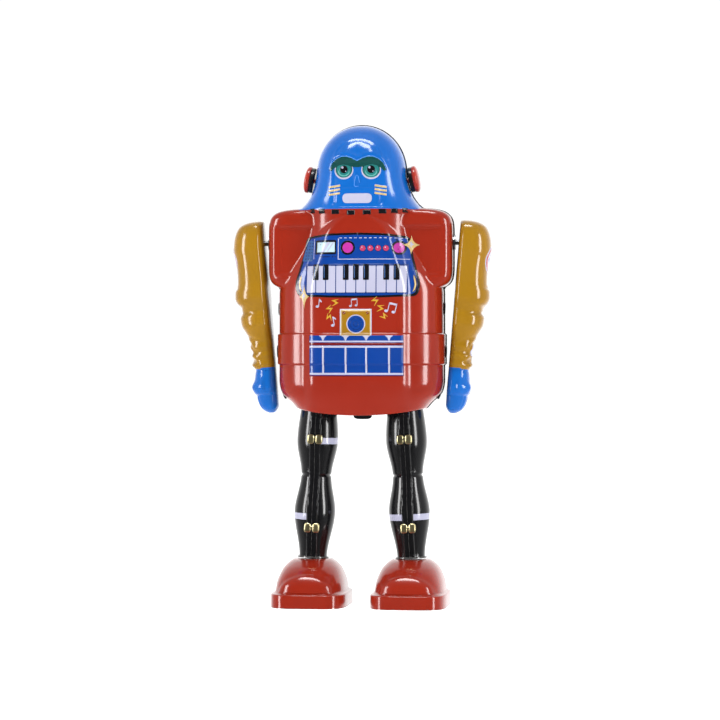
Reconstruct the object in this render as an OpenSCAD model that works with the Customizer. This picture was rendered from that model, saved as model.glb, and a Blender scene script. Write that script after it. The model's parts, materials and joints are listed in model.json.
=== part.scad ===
// Tin wind-up walking robot, as an assembly of its pressed shells, limbs and clockwork.
// It faces -Y and stands on z = 0. Right and left are the robot's own, so right is -X.

/* [Body] */
// Height of the hip axle above the floor
hip_z = 104; // [95:1:126]
// Height of the torso, from its open bottom to the top of the shoulders
body_h = 99; // [96:1:120]
// Width of the torso at the waist
waist_w = 79.4; // [76:0.2:96]
// Width across the shoulder boxes
shoulder_w = 88.6; // [86:0.2:110]
// Depth of the front half of the torso, from the seam to the chest
front_depth = 22; // [20:0.2:28]
// Depth of the back half of the torso, from the seam to the back
back_depth = 20; // [18:0.2:26]
// Thickness of the pressed tin
tin = 0.6; // [0.4:0.05:0.8]
// Width of the open bottom of the torso
bottom_w = 62.4; // [60:0.2:70]
// Amount by which the belt band stands out from the waist
belt_out = 0.8; // [0.4:0.1:1.6]
// Height of the hip axle above the bottom of the torso
hip_in = 13; // [12:0.5:15]

/* [Head] */
// Height of the head above the shoulders
head_h = 40; // [34:1:50]
// Width of the head above its flared base
head_w = 41.6; // [36:0.2:50]
// Height of the ears above the shoulders
ear_up = 13.7; // [10:0.1:18]
// Diameter of the ear caps
ear_d = 12.8; // [10:0.2:16]

/* [Arms] */
// Length of an arm, from its top to the finger tips
arm_len = 92.7; // [78:0.1:111]
// Distance of the arm shafts below the top of the shoulders
shoulder_drop = 16.3; // [15:0.1:20]
// Distance of an arm's shaft below the top of the arm
arm_top = 11; // [8:0.5:14]
// Greatest reach of an arm's outer shell from its seam
arm_out = 13.6; // [11:0.1:16.4]
// Depth of an arm's inner shell
arm_in = 3.3; // [2.6:0.1:4]
// Width of an arm from front to back
arm_d = 23; // [19:0.5:28]
// Gap between a shoulder box and the arm beside it
arm_gap = 2.5; // [2:0.1:5]
// Gap between the belt and the arm beside it
belt_gap = 0.8; // [0.6:0.1:3]
// Lean of the arms towards the body, in degrees
arm_lean = 4.7; // [3:0.1:5]
// Diameter of the arm shafts
arm_shaft_d = 2.5; // [2:0.1:3]

/* [Legs and feet] */
// Distance between the hips, centre to centre
hip_w = 41; // [39:0.5:46]
// Lean of the legs outwards, in degrees
leg_splay = 2.3; // [0:0.1:3]
// Greatest diameter of a leg
leg_d = 19.8; // [17:0.1:20.4]
// Diameter of a leg at the knee
knee_d = 14.6; // [12:0.1:16]
// Diameter of a leg at the ankle
ankle_d = 13.4; // [11:0.1:15]
// Width of a foot
foot_w = 36.6; // [30:0.2:40]
// Reach of the toe in front of the ankle
toe = 29; // [24:0.5:36]
// Reach of the heel behind the ankle
heel = 19; // [16:0.5:24]
// Height of a foot
foot_h = 22; // [18:0.5:27]
// Height of the rim round a foot
rim_h = 6.5; // [4:0.25:8]
// Diameter of the hip axle
hip_axle_d = 3; // [2.4:0.1:3.6]
// Greatest swing of a leg each way, in degrees
leg_swing = 10; // [6:0.5:12]

/* [Clockwork] */
// Distance between the two movement plates
plate_gap = 16.4; // [15.6:0.1:18]
// Thickness of the movement plates and brackets
plate_t = 0.8; // [0.6:0.05:1]
// Half the width of the movement plates
plate_hw = 20; // [19.6:0.2:21]
// Module of the great wheel and its pinion
module_1 = 0.6; // [0.5:0.02:0.62]
// Module of the faster gears
module_2 = 0.5; // [0.45:0.01:0.55]
// Teeth on the great wheel
great_teeth = 48; // [44:1:50]
// Teeth on the second wheel
second_teeth = 40; // [36:1:42]
// Teeth on the third wheel
third_teeth = 36; // [32:1:38]
// Teeth on each pinion
pinion_teeth = 10; // [9:1:11]
// Length of the key from the back of the torso
key_reach = 17; // [13:0.5:24]
// Width of the key's wings
key_w = 26; // [20:0.5:34]
// Length of the drive lever on a leg
drive_lever = 14; // [12:0.5:15]
// Length of the lever on an arm shaft
arm_lever = 7; // [6:0.5:8]

/* [Clearances] */
// Radial clearance of a shaft in its hole
run = 0.1; // [0.05:0.01:0.2]
// Gap between parts that lie beside each other
gap = 0.3; // [0.2:0.05:0.5]
// Radial clearance of a link's eye round its pin
eye_play = 0.2; // [0.15:0.05:0.3]
// Radial play of an arm link's loose upper eye
loop_play = 1; // [0.8:0.1:1.2]

/* [Hidden] */

$fn = 48;
RIGHT = -1;
LEFT = 1;

// The origin lies midway between the toes and the tip of the key
centre_y = (toe - back_depth - key_reach) / 2;

// Heights
body_z = hip_z - hip_in;
shoulder_z = body_z + body_h;
arm_z = shoulder_z - shoulder_drop;
ear_z = shoulder_z + ear_up;

// Torso shape, as heights above its bottom
corner_h = 17;
belt_lo = 24.7;
belt_hi = 38.5;
belt_step = 0.8;
box_h = 39.4;
narrow_from = body_h - 41;
narrow_to = body_h - 9;
panel_arch = 12;
panel_out = 1.6;
panel_hw = 26.5;
panel_top_hw = 18.5;
neck_hw = 26;
shoulder_depth = 14.5;
flare = 6.8;
flare_len = 7.2;
flare_from = 1.8;
dome_h = 21;
head_front = 19.5;
head_back = 18.5;
lip = 0.5;

function mix(a, b, t) = a + (b - a) * t;
function clamp01(t) = min(max(t, 0), 1);
function ease(t) = let (u = clamp01(t)) u * u * (3 - 2 * u);
function blend_max(a, b, k) = max(a, b) + pow(max(k - abs(a - b), 0), 2) / (4 * k);
// Distance to a superellipse of half sizes a and b, in the direction (c, s)
function oval(c, s, a, b, n) = pow(pow(abs(c) / a, n) + pow(abs(s) / b, n), -1 / n);
// Value at x in a list of [x, value] pairs, eased from each to the next
function along(list, x, i = 0) =
    x <= list[0][0] ? list[0][1] :
    i >= len(list) - 1 ? list[len(list) - 1][1] :
    x <= list[i + 1][0]
        ? mix(list[i][1], list[i + 1][1], ease((x - list[i][0]) / (list[i + 1][0] - list[i][0])))
        : along(list, x, i + 1);
function steps(from, to, n) = [for (i = [0 : n - 1]) mix(from, to, i / n)];

// --- Torso and head: the distance of the wall from the Z axis, at height h and in direction a
function corner(h) = pow(sin(90 * clamp01(h / corner_h)), 0.9);
function belt(h) = belt_out * (ease((h - belt_lo + belt_step) / belt_step) - ease((h - belt_hi) / belt_step));
function narrowing(h) = ease((h - narrow_from) / (narrow_to - narrow_from));
function trunk_hw(h) = mix(bottom_w / 2, waist_w / 2, corner(h)) + belt(h)
    - (waist_w / 2 - neck_hw) * narrowing(h);
function trunk_depth(h, front) = (front ? front_depth : back_depth) - 5 * (1 - corner(h)) + belt(h) - (front ? 1.8 : 1.2) * narrowing(h);
function trunk(h, c, s, front) = oval(c, s, trunk_hw(h), trunk_depth(h, front), front ? 3.2 : 5);
function arch(h) = sqrt(max(1 - pow(max(h - body_h + 15, 0) / panel_arch, 2), 0.0001));
function panel(h, c, s) = oval(c, s,
    mix(panel_hw, panel_top_hw, narrowing(h)) * arch(h),
    trunk_depth(h, true) + (panel_out * ease(h / corner_h) + 1) * arch(h) - 1, 7);
function box_end(h) = pow(max(1 - pow(abs(h - body_h + box_h / 2) / (box_h / 2 + 0.01), 7), 0.000001), 1 / 7);
function box(h, c, s) = oval(c, s, shoulder_w / 2 * box_end(h), shoulder_depth * box_end(h), 6);
function dome(h) = sqrt(max(1 - pow(max(h - body_h - head_h + dome_h, 0) / dome_h, 2), 0));
function head_flare(h) = flare * exp(-(h - body_h - flare_from) / flare_len) * ease((h - body_h + 6) / 6);
function head(h, c, s, full) = oval(c, s,
    max((head_w / 2 + head_flare(h)) * dome(h) * ease((h - body_h + 6) / 3), 0.01),
    max((full + head_flare(h) * 0.1) * dome(h) * ease((h - body_h + 6) / 3), 0.01), 2.4);
function wall(h, a, front) =
    let (c = cos(a), s = sin(a), torso = trunk(h, c, s, front),
        chest = front ? blend_max(torso, panel(h, c, s), 0.8) : torso,
        boxed = h < body_h - 0.001 ? blend_max(chest, box(h, c, s), 2) : 0,
        capped = head(h, c, s, front ? head_front : head_back))
    h < body_h - 6 ? boxed : h < body_h - 0.001 ? blend_max(boxed, capped, 1) : capped;

body_levels = concat([0, 0.6, 2], steps(4, corner_h, 4),
    [corner_h, belt_lo - belt_step, belt_lo, belt_hi, belt_hi + belt_step],
    [narrow_from - 4, body_h - box_h + 0.15, body_h - box_h + 0.8, body_h - box_h + 2.2, body_h - box_h + 5],
    steps(body_h - box_h + 11, body_h - 8, 3),
    [body_h - 6, body_h - 3.4, body_h - 1.8, body_h - 0.8, body_h - 0.2, body_h, body_h + 0.6, body_h + 2],
    steps(body_h + 4, body_h + head_h - dome_h, 4),
    [for (i = [0 : 7]) body_h + head_h - dome_h * (1 - sin(i * 12))]);
body_turns = 28;

function body_lip(h, r) = h < 0.3 ? r - lip : r;
function body_ring(h, front, inset) = [for (j = [0 : body_turns])
    let (a = 180 + 180 * j / body_turns, r = body_lip(h, wall(h, a, front)) - inset)
    [r * cos(a), r * sin(a), body_z + h - inset * ease((h - body_h + 22) / 12) + inset * ease(1 - h / 2)]];

// --- Shells made of rings of points
function ring_points(outer, inner) = [for (side = [outer, inner]) for (ring = side) for (p = ring) p];

function quad(a, b, c, d) = [[a, b, c], [a, c, d]];

// Half of a pressed case: rings run from seam to seam, from the bottom up
module half_case(outer, inner, closed_bottom) {
    m = len(outer);
    n = len(outer[0]);
    o = m * n;
    top = (m - 1) * n;
    skins = [for (i = [0 : m - 2]) for (j = [0 : n - 2])
        let (p = i * n + j) each concat(quad(p, p + n, p + n + 1, p + 1),
            quad(o + p, o + p + 1, o + p + n + 1, o + p + n))];
    seams = [for (i = [0 : m - 2])
        let (p = i * n, q = p + n - 1) each concat(quad(p, o + p, o + p + n, p + n),
            quad(q, q + n, o + q + n, o + q))];
    cap = [[for (j = [n - 1 : -1 : 0]) top + j], [for (j = [0 : n - 1]) o + top + j],
        [top, o + top, o + top + n - 1, top + n - 1]];
    base = closed_bottom
        ? [[for (j = [0 : n - 1]) j], [for (j = [n - 1 : -1 : 0]) o + j], [0, n - 1, o + n - 1, o]]
        : [for (j = [0 : n - 2]) each quad(j, j + 1, o + j + 1, o + j)];
    polyhedron(ring_points(outer, inner), concat(skins, seams, cap, base));
}

// A whole pressed case, open at the bottom
module round_case(outer, inner) {
    m = len(outer);
    n = len(outer[0]);
    o = m * n;
    top = (m - 1) * n;
    skins = [for (i = [0 : m - 2]) for (j = [0 : n - 1])
        let (p = i * n, k = (j + 1) % n) each concat(quad(p + j, p + n + j, p + n + k, p + k),
            quad(o + p + j, o + p + k, o + p + n + k, o + p + n + j))];
    base = [for (j = [0 : n - 1]) let (k = (j + 1) % n) each quad(j, k, o + k, o + j)];
    cap = [[for (j = [n - 1 : -1 : 0]) top + j], [for (j = [0 : n - 1]) o + top + j]];
    polyhedron(ring_points(outer, inner), concat(skins, base, cap));
}

module along_x(r, x0, x1) {
    translate([x0, 0, 0]) rotate([0, 90, 0]) cylinder(r = r, h = x1 - x0);
}
module along_y(r, y0, y1) {
    translate([0, y0, 0]) rotate([-90, 0, 0]) cylinder(r = r, h = y1 - y0);
}
// A round bar between two points
module bar(a, b, r) {
    d = b - a;
    translate(a) rotate([0, acos(d[2] / norm(d)), atan2(d[1], d[0])]) cylinder(r = r, h = norm(d));
}
// Built for the left side and mirrored for the right
module sided(side) {
    mirror([side == RIGHT ? 1 : 0, 0, 0]) children();
}

// --- Ears
ear_tilt = 11;
ear_ring_t = 1.8;
ear_cap_t = 3;
ear_stud_d = 2.4;
ear_ring_d = ear_d - 0.6;
ear_sink = 1;
ear_nut_t = 1;
function head_side(h) = wall(h, 0, true);
ear_x = head_side(body_h + ear_up) + ear_sink;

module at_ear() {
    translate([ear_x, 0, ear_z]) rotate([0, -ear_tilt, 0]) children();
}
module ear_ring() {
    color("#17181b") at_ear() difference() {
        along_x(ear_ring_d / 2, 0, ear_ring_t);
        along_x(ear_stud_d / 2 + run, -1, ear_ring_t + 1);
    }
}
module ear_cap() {
    dome_r = (pow(ear_d / 2, 2) + pow(ear_cap_t - 1.2, 2)) / (2 * (ear_cap_t - 1.2));
    color("#c9453b") at_ear() {
        along_x(ear_d / 2, ear_ring_t, ear_ring_t + 1.2);
        intersection() {
            translate([ear_ring_t + ear_cap_t - dome_r, 0, 0]) sphere(r = dome_r);
            along_x(ear_d / 2, ear_ring_t + 1.2, ear_ring_t + ear_cap_t + 1);
        }
        along_x(ear_stud_d / 2, -ear_sink - tin - ear_nut_t - 1.7, ear_ring_t + 0.2);
    }
}
module ear_nuts() {
    color("#9a9ca0") for (side = [RIGHT, LEFT]) sided(side) at_ear() difference() {
        along_x(3, -ear_sink - tin - ear_nut_t - 1.2, -ear_sink - tin - 1.2);
        along_x(ear_stud_d / 2 + run / 2, -ear_sink - tin - ear_nut_t - 2, 0);
    }
}
module ear_holes() {
    for (side = [RIGHT, LEFT]) sided(side) at_ear() along_x(ear_stud_d / 2 + run + 0.1, -6, 1);
}

// --- Shoulder bushes, set in the seam where the arm shafts leave the torso
bush_r = arm_shaft_d / 2 + 1.3;
bush_len = 4;
box_side = shoulder_w / 2;
arm_shaft_r = arm_shaft_d / 2;
module shoulder_bushes() {
    color("#6d7076") for (side = [RIGHT, LEFT]) sided(side) translate([0, 0, arm_z]) difference() {
        union() {
            along_x(bush_r, box_side - bush_len, box_side + 0.9);
            along_x(bush_r + 1.1, box_side + 0.25, box_side + 0.9);
        }
        along_x(arm_shaft_r + run, box_side - bush_len - 1, box_side + 2);
    }
}
module bush_holes() {
    for (side = [RIGHT, LEFT]) sided(side) translate([0, 0, arm_z])
        along_x(bush_r + 0.1, box_side - bush_len - 2, box_side + 2);
}

// --- Torso and head shells
key_z_up = 53;
axis_z = body_z + key_z_up;
arbor_r = 2;
post_x = 15;
post_lo = 31;
post_hi = 61;
screw_r = 1;
strap_hw = 8;
tab_heights = [10.5, 53.5];

module front_shell() {
    color("#bf3a26") difference() {
        half_case([for (h = body_levels) body_ring(h, true, 0)],
            [for (h = body_levels) body_ring(h, true, tin)], false);
        bush_holes();
        ear_holes();
    }
}
module back_tabs() {
    for (side = [RIGHT, LEFT], h = tab_heights) sided(side) {
        x = wall(h, 0, false);
        fold_x = wall(h + 2.2, 0, false) + 0.15;
        translate([x - tin / 2, 0.05, body_z + h - 3]) cube([fold_x - x + tin / 2 + 0.6, 2.6, 6]);
        translate([fold_x, -2.4, body_z + h - 2]) cube([0.6, 2.6, 4]);
    }
}
// The strap across the open bottom, between the legs
module bottom_strap() {
    back_y = wall(0.6, 270, false) - lip;
    lip_y = wall(0.6, 270, true);
    fold_y = wall(2, 270, true) + 0.15;
    translate([-strap_hw, -lip_y + lip + tin + 0.6, body_z - 0.05]) cube([2 * strap_hw, lip_y + back_y - lip - tin, tin]);
    translate([-strap_hw / 2, -fold_y - tin, body_z - 0.05 - tin]) cube([strap_hw, fold_y - 6, tin]);
    translate([-strap_hw / 2, -fold_y - tin, body_z - 0.05 - tin]) cube([strap_hw, tin, 2.4]);
}
module back_shell() {
    color("#1b1c20") {
        difference() {
            mirror([0, 1, 0]) half_case([for (h = body_levels) body_ring(h, false, 0)],
                [for (h = body_levels) body_ring(h, false, tin)], false);
            bush_holes();
            ear_holes();
            translate([0, 0, axis_z]) along_y(arbor_r + 1, 10, back_depth + 5);
            for (x = [-post_x, post_x], h = [post_lo, post_hi])
                translate([x, 0, body_z + h]) along_y(screw_r + 0.2, 10, back_depth + 5);
        }
        back_tabs();
        bottom_strap();
    }
}
module mounting_posts() {
    color("#a8a9ad") for (x = [-post_x, post_x], h = [post_lo, post_hi])
        translate([x, 0, body_z + h]) difference() {
            along_y(2, plate_gap / 2 + plate_t, back_depth - tin - gap);
            along_y(screw_r, plate_gap / 2 + plate_t + 2, back_depth);
        }
}
module mounting_screws() {
    color("#c4c6ca") for (x = [-post_x, post_x], h = [post_lo, post_hi])
        translate([x, 0, body_z + h]) difference() {
            union() {
                along_y(screw_r - 0.05, plate_gap / 2 + plate_t + 4, trunk_depth(h, false) + 0.2);
                translate([0, trunk_depth(h, false) + 0.1, 0]) rotate([-90, 0, 0]) cylinder(r1 = 2.2, r2 = 1.5, h = 1);
            }
            translate([-0.25, trunk_depth(h, false) + 0.6, -3]) cube([0.5, 2, 6]);
        }
}

// --- Arms, built about a seam plane and then stood on edge at the shoulder
// [distance below the top as a share of the length, reach as a share of arm_out, depth as a share of arm_d]
arm_stations = [
    [0, 0.14, 0.12], [0.008, 0.44, 0.5], [0.025, 0.64, 0.7], [0.06, 0.80, 0.86], [0.14, 0.93, 1], [0.24, 0.84, 0.95],
    [0.33, 0.85, 0.93], [0.39, 1, 1], [0.43, 0.9, 0.95], [0.47, 0.79, 0.88], [0.52, 0.84, 0.92],
    [0.58, 0.69, 0.8], [0.65, 0.55, 0.68], [0.69, 0.6, 0.7], [0.72, 0.53, 0.65], [0.75, 0.57, 0.67],
    [0.785, 0.51, 0.58], [0.82, 0.55, 0.66], [0.865, 0.62, 0.76], [0.91, 0.53, 0.66],
    [0.94, 0.42, 0.52], [0.975, 0.34, 0.42], [1, 0.13, 0.16]];
arm_turns = 12;
arm_x = max(box_side + arm_gap,
    waist_w / 2 + belt_out + belt_gap + tan(arm_lean) * (body_h - shoulder_drop - belt_lo));

function sign_pow(v, p) = sign(v) * pow(abs(v), p);
function arm_ring(s, reach, inset) = [for (j = [0 : arm_turns])
    let (a = 180 + 180 * j / arm_turns, d = max(s[2] * arm_d / 2 - inset, 0.4), r = max(s[1] * reach - inset, 0.2))
    [d * sign_pow(cos(a), 0.85), r * sign_pow(sin(a), 0.85), arm_top - s[0] * arm_len
        + (s[0] < 0.02 ? -inset : s[0] > 0.99 ? inset : 0)]];
function arm_rings(reach, inset) = [for (i = [len(arm_stations) - 1 : -1 : 0]) arm_ring(arm_stations[i], reach, inset)];

// side_turn is 90 for the outer shell and -90 for the inner
module arm_half(reach, side_turn) {
    translate([arm_x, 0, arm_z]) rotate([0, arm_lean, 0]) translate([arm_in, 0, 0])
        rotate([0, 0, side_turn]) half_case(arm_rings(reach, 0), arm_rings(reach, tin), true);
}
module arm_outer(side) {
    color("#c8961e") sided(side) arm_half(arm_out, 90);
}
function inner_arm_rings(inset) = [for (i = [len(arm_stations) - 1 : -1 : 0])
    let (s = arm_stations[i]) arm_ring([s[0], min(s[1] * 2.4, 1), s[2]], arm_in, inset)];
module arm_inner(side) {
    color("#b98a1a") sided(side) difference() {
        translate([arm_x, 0, arm_z]) rotate([0, arm_lean, 0]) translate([arm_in, 0, 0])
            rotate([0, 0, -90]) half_case(inner_arm_rings(0), inner_arm_rings(tin), true);
        translate([0, 0, arm_z]) along_x(arm_shaft_r + run, arm_x - 3, arm_x + 3);
    }
}
boss_len = 6;
boss_x = arm_x + tin + gap;
shaft_in = plate_hw - 3;
module arm_shaft(side) {
    color("#5a5d62") sided(side) translate([0, 0, arm_z]) along_x(arm_shaft_r, shaft_in, boss_x + boss_len);
}
module arm_boss(side) {
    color("#8f9196") sided(side) translate([0, 0, arm_z]) difference() {
        union() {
            along_x(arm_shaft_r + 1.4, boss_x + 0.9, boss_x + boss_len);
            along_x(arm_shaft_r + 3, boss_x + 0.4, boss_x + 1);
        }
        along_x(arm_shaft_r, boss_x - 1, boss_x + boss_len + 1);
    }
}
lever_x = plate_hw + 6.2;
pin_r = 0.8;
module arm_lever_part(side) {
    color("#a8a9ad") sided(side) translate([0, 0, arm_z]) {
        difference() {
            union() {
                along_x(arm_shaft_r + 1.4, lever_x - 2, lever_x + plate_t);
                along_x(pin_r + 1, lever_x, lever_x + plate_t);
                translate([lever_x, 0, -1.6]) cube([plate_t, arm_lever, 3.2]);
                translate([0, arm_lever, 0]) along_x(pin_r + 0.9, lever_x, lever_x + plate_t);
            }
            along_x(arm_shaft_r, lever_x - 3, lever_x + 3);
        }
        translate([0, arm_lever, 0]) along_x(pin_r, lever_x + plate_t / 2, lever_x + plate_t + 2.4);
    }
}
// A channel over the movement that carries the inner ends of the arm shafts
plate_lo = body_z + 17;
plate_hi = body_z + 69.5;
module shoulder_bracket() {
    color("#b4b6ba") difference() {
        union() {
            translate([-plate_hw + 0.2, -6, plate_hi]) cube([2 * plate_hw - 0.4, 12, plate_t]);
            for (x = [-plate_hw + 0.2, plate_hw - 0.2 - plate_t])
                translate([x, -6, plate_hi]) cube([plate_t, 12, arm_z + 4 - plate_hi]);
            for (y = [-plate_gap / 2 - plate_t - 0.8, plate_gap / 2 + plate_t])
                translate([-9, y, plate_hi - 8]) cube([18, 0.8, 8 + plate_t]);
            translate([-9, -plate_gap / 2 - plate_t - 0.8, plate_hi]) cube([18, plate_gap + 2 * plate_t + 1.6, plate_t]);
        }
        translate([0, 0, arm_z]) along_x(arm_shaft_r + run, -plate_hw - 2, plate_hw + 2);
    }
}

// --- Hip frame and legs
hip_r = hip_axle_d / 2;
leg_flange = 0.9;
cheek_x = hip_w / 2 - 9.8;
hub_in = cheek_x + plate_t + gap;
hub_out = hip_w / 2 + 7.8;
cap_t = 1.6;
hip_end = hub_out + gap + cap_t;
strap_x = hip_w / 2 + 0.2;
leg_top = hip_z - 7;
ankle_z = foot_h + 0.1 + (ankle_d / 2 + leg_flange) * sin(leg_splay);
ankle_x = hip_w / 2 + tan(leg_splay) * (hip_z - foot_h);
link_x = lever_x + plate_t + 0.5;
link_t = 0.8;
drive_x = hub_in - 1.5;

module hip_bracket() {
    color("#b4b6ba") difference() {
        union() {
            translate([-cheek_x - plate_t, -plate_gap / 2 - plate_t, plate_lo - plate_t])
                cube([2 * (cheek_x + plate_t), plate_gap + 2 * plate_t, plate_t]);
            for (x = [-cheek_x - plate_t, cheek_x])
                translate([x, -5, hip_z - 4]) cube([plate_t, 10, plate_lo - hip_z + 4]);
        }
        translate([0, 0, hip_z]) along_x(hip_r + run, -hip_end, hip_end);
    }
}
module hip_axle() {
    color("#5a5d62") translate([0, 0, hip_z]) along_x(hip_r, -hip_end + 0.4, hip_end - 0.4);
}
module hip_caps() {
    color("#8f9196") for (side = [RIGHT, LEFT]) sided(side) translate([0, 0, hip_z]) difference() {
        along_x(hip_r + 1.4, hub_out + gap, hip_end);
        along_x(hip_r, 0, hip_end - 0.4);
    }
}
// The strap inside a leg, with its hub on the hip axle and the two drive pins
module leg_bracket(side) {
    color("#9fa1a6") sided(side) {
        difference() {
            union() {
                translate([0, 0, hip_z]) along_x(hip_r + 1.3, hub_in, hub_out);
                translate([strap_x, -3, ankle_z + 0.5]) cube([plate_t, 6, hip_z - ankle_z - 0.5]);
                translate([strap_x, -3, ankle_z + 0.5]) cube([ankle_x + 3 - strap_x, 6, plate_t]);
                translate([hub_in, -drive_lever, hip_z - 1.7]) cube([plate_t, drive_lever, 3.4]);
                translate([0, -drive_lever, hip_z]) along_x(pin_r + 1, hub_in, hub_in + plate_t);
            }
            translate([0, 0, hip_z]) along_x(hip_r + run, 0, hip_end);
            translate([ankle_x, 0, ankle_z]) cylinder(r = 1.3, h = 3);
        }
        translate([0, -drive_lever, hip_z]) along_x(pin_r, drive_x - 0.6, link_x + link_t + 0.5);
    }
}
// Radius of a leg at height z: thigh, knee and calf
thigh_z = mix(ankle_z, hip_z, 0.67);
knee_z = mix(ankle_z, hip_z, 0.49);
calf_z = mix(ankle_z, hip_z, 0.24);
leg_curve = [[ankle_z, ankle_d / 2], [calf_z, leg_d / 2], [knee_z - 1.5, knee_d / 2],
    [knee_z + 1.5, knee_d / 2], [thigh_z, leg_d / 2], [leg_top, leg_d / 2 - 1.7]];
leg_steps = 20;
function leg_r(z) = along(leg_curve, z);
function leg_outline() = concat(
    [[ankle_d / 2 + leg_flange, ankle_z], [ankle_d / 2 + leg_flange, ankle_z + tin]],
    [for (i = [0 : leg_steps]) let (z = mix(ankle_z + tin, leg_top, i / leg_steps)) [leg_r(z), z]],
    [for (i = [leg_steps : -1 : 0]) let (z = mix(ankle_z, leg_top, i / leg_steps)) [leg_r(z) - tin, z]]);
// turn is the angle from which the half runs round: 90 for the shell on the -X side of its seam
module leg_half(turn) {
    translate([hip_w / 2, 0, hip_z]) rotate([0, -leg_splay, 0]) translate([0, 0, -hip_z])
        rotate([0, 0, turn]) rotate_extrude(angle = 180, $fn = 64) polygon(leg_outline());
}
module leg_outer(side) {
    color("#16171a") sided(side) leg_half(-90);
}
module leg_inner(side) {
    color("#101114") sided(side) leg_half(90);
}
// Brass clips that pinch the two halves together, front and back
clip_up = [0.18, 0.7];
module leg_clips(side) {
    color("#d9c873") sided(side) translate([hip_w / 2, 0, hip_z]) rotate([0, -leg_splay, 0]) translate([0, 0, -hip_z])
        for (u = clip_up, turn = [0, 180]) {
            z = mix(ankle_z, hip_z, u);
            rotate([0, 0, turn]) for (x = [-1.9, 1.9])
                translate([x, -leg_r(z) - 1.1, z]) intersection() {
                    rotate([-90, 0, 0]) cylinder(r = 2.3, h = 0.9);
                    translate([-1.6, -1, -3]) cube([3.2, 4, 6]);
                }
        }
}

// --- Feet
// [height, half width, toe reach, heel reach, roundness]
foot_levels = [
    [0, foot_w / 2, toe, heel, 4.5], [rim_h, foot_w / 2, toe, heel, 4.5],
    [rim_h + 0.6, foot_w / 2 - 1.3, toe - 1.6, heel - 1.4, 3.6],
    [mix(rim_h, foot_h, 0.3), foot_w / 2 - 2, toe - 2.7, heel - 2.2, 3.2],
    [mix(rim_h, foot_h, 0.55), foot_w / 2 - 3.2, toe - 5.5, heel - 3.2, 2.9],
    [mix(rim_h, foot_h, 0.75), foot_w / 2 - 4.8, toe - 9.5, heel - 4.6, 2.7],
    [mix(rim_h, foot_h, 0.9), foot_w / 2 - 7, toe - 14.2, heel - 6.5, 2.5],
    [foot_h, ankle_d / 2 + 2.2, ankle_d / 2 + 3, ankle_d / 2 + 3, 2.3]];
foot_turns = 32;
function foot_ring(l, inset) = [for (j = [0 : foot_turns - 1])
    let (a = 360 * j / foot_turns, c = cos(a), s = sin(a),
        r = oval(c, s, l[1], s < 0 ? l[2] : l[3], l[4]) - inset)
    [r * c, r * s, l[0] - (l[0] > rim_h ? inset : 0)]];
module foot_shell(side) {
    color("#c23a2a") sided(side) difference() {
        translate([ankle_x, 0, 0]) round_case([for (l = foot_levels) foot_ring(l, 0)],
            [for (l = foot_levels) foot_ring(l, tin)]);
        translate([ankle_x, 0, foot_h - 3]) cylinder(r = 1.3, h = 6);
    }
}
module sole(side) {
    color("#8f9196") sided(side) translate([ankle_x, 0, 0])
        linear_extrude(height = tin) polygon([for (p = foot_ring(foot_levels[0], tin + 0.15)) [p[0], p[1]]]);
}
module ankle_rivet(side) {
    color("#c4c6ca") sided(side) translate([ankle_x, 0, 0]) {
        translate([0, 0, foot_h - tin - 0.1 - 0.9]) cylinder(r = 2.4, h = 0.9);
        translate([0, 0, foot_h - tin - 0.6]) cylinder(r = 1.2, h = 3.4);
        translate([0, 0, ankle_z + 0.5 + plate_t + 0.1]) cylinder(r = 1.6, h = 0.8);
    }
}

// --- Links
module eye(r, play, wide) {
    rotate([0, 90, 0]) difference() {
        cylinder(r = r + play + wide, h = link_t);
        translate([0, 0, -1]) cylinder(r = r + play, h = link_t + 2);
    }
}
wire_r = 0.35;
module arm_link(side) {
    foot = [link_x + link_t / 2, -drive_lever, hip_z];
    top = [link_x + link_t / 2, arm_lever, arm_z];
    dir = (top - foot) / norm(top - foot);
    color("#c4c6ca") sided(side) {
        translate([link_x, foot[1], foot[2]]) eye(pin_r, eye_play, 0.9);
        translate([link_x, top[1], top[2]]) eye(pin_r, loop_play, 0.9);
        bar(foot + dir * (pin_r + eye_play + 0.35), top - dir * (pin_r + loop_play + 0.35), wire_r);
    }
}
disc_y = -plate_gap / 2 - 2 * plate_t - 0.8;
crank_r = drive_lever * sin(leg_swing);
crank_z = body_z + 27;
link_y = disc_y - 2.7;
module drive_link(side) {
    // The upper eye lies in front of the crank disc, the lower one on the leg's lever pin
    top = [crank_r, link_y, crank_z];
    foot = [drive_x + link_t / 2, -drive_lever, hip_z];
    dir = (top - foot) / norm(top - foot);
    color("#c4c6ca") sided(side) {
        translate([drive_x, foot[1], foot[2]]) eye(pin_r, eye_play, 0.8);
        translate([top[0], top[1] + link_t / 2, top[2]]) rotate([0, 0, -90]) eye(0.7, 0.25, 0.55);
        bar(foot + dir * 1.3, top - dir * 1.2, wire_r);
    }
}

// --- Gears, with their axes along Y
pressure = 24;
backlash = 0.16;
function involute(rb, r) = let (t = sqrt(max(pow(r / rb, 2) - 1, 0))) (t - atan(t) * PI / 180) * 180 / PI;
function gear_r(teeth, m) = teeth * m / 2;
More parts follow.
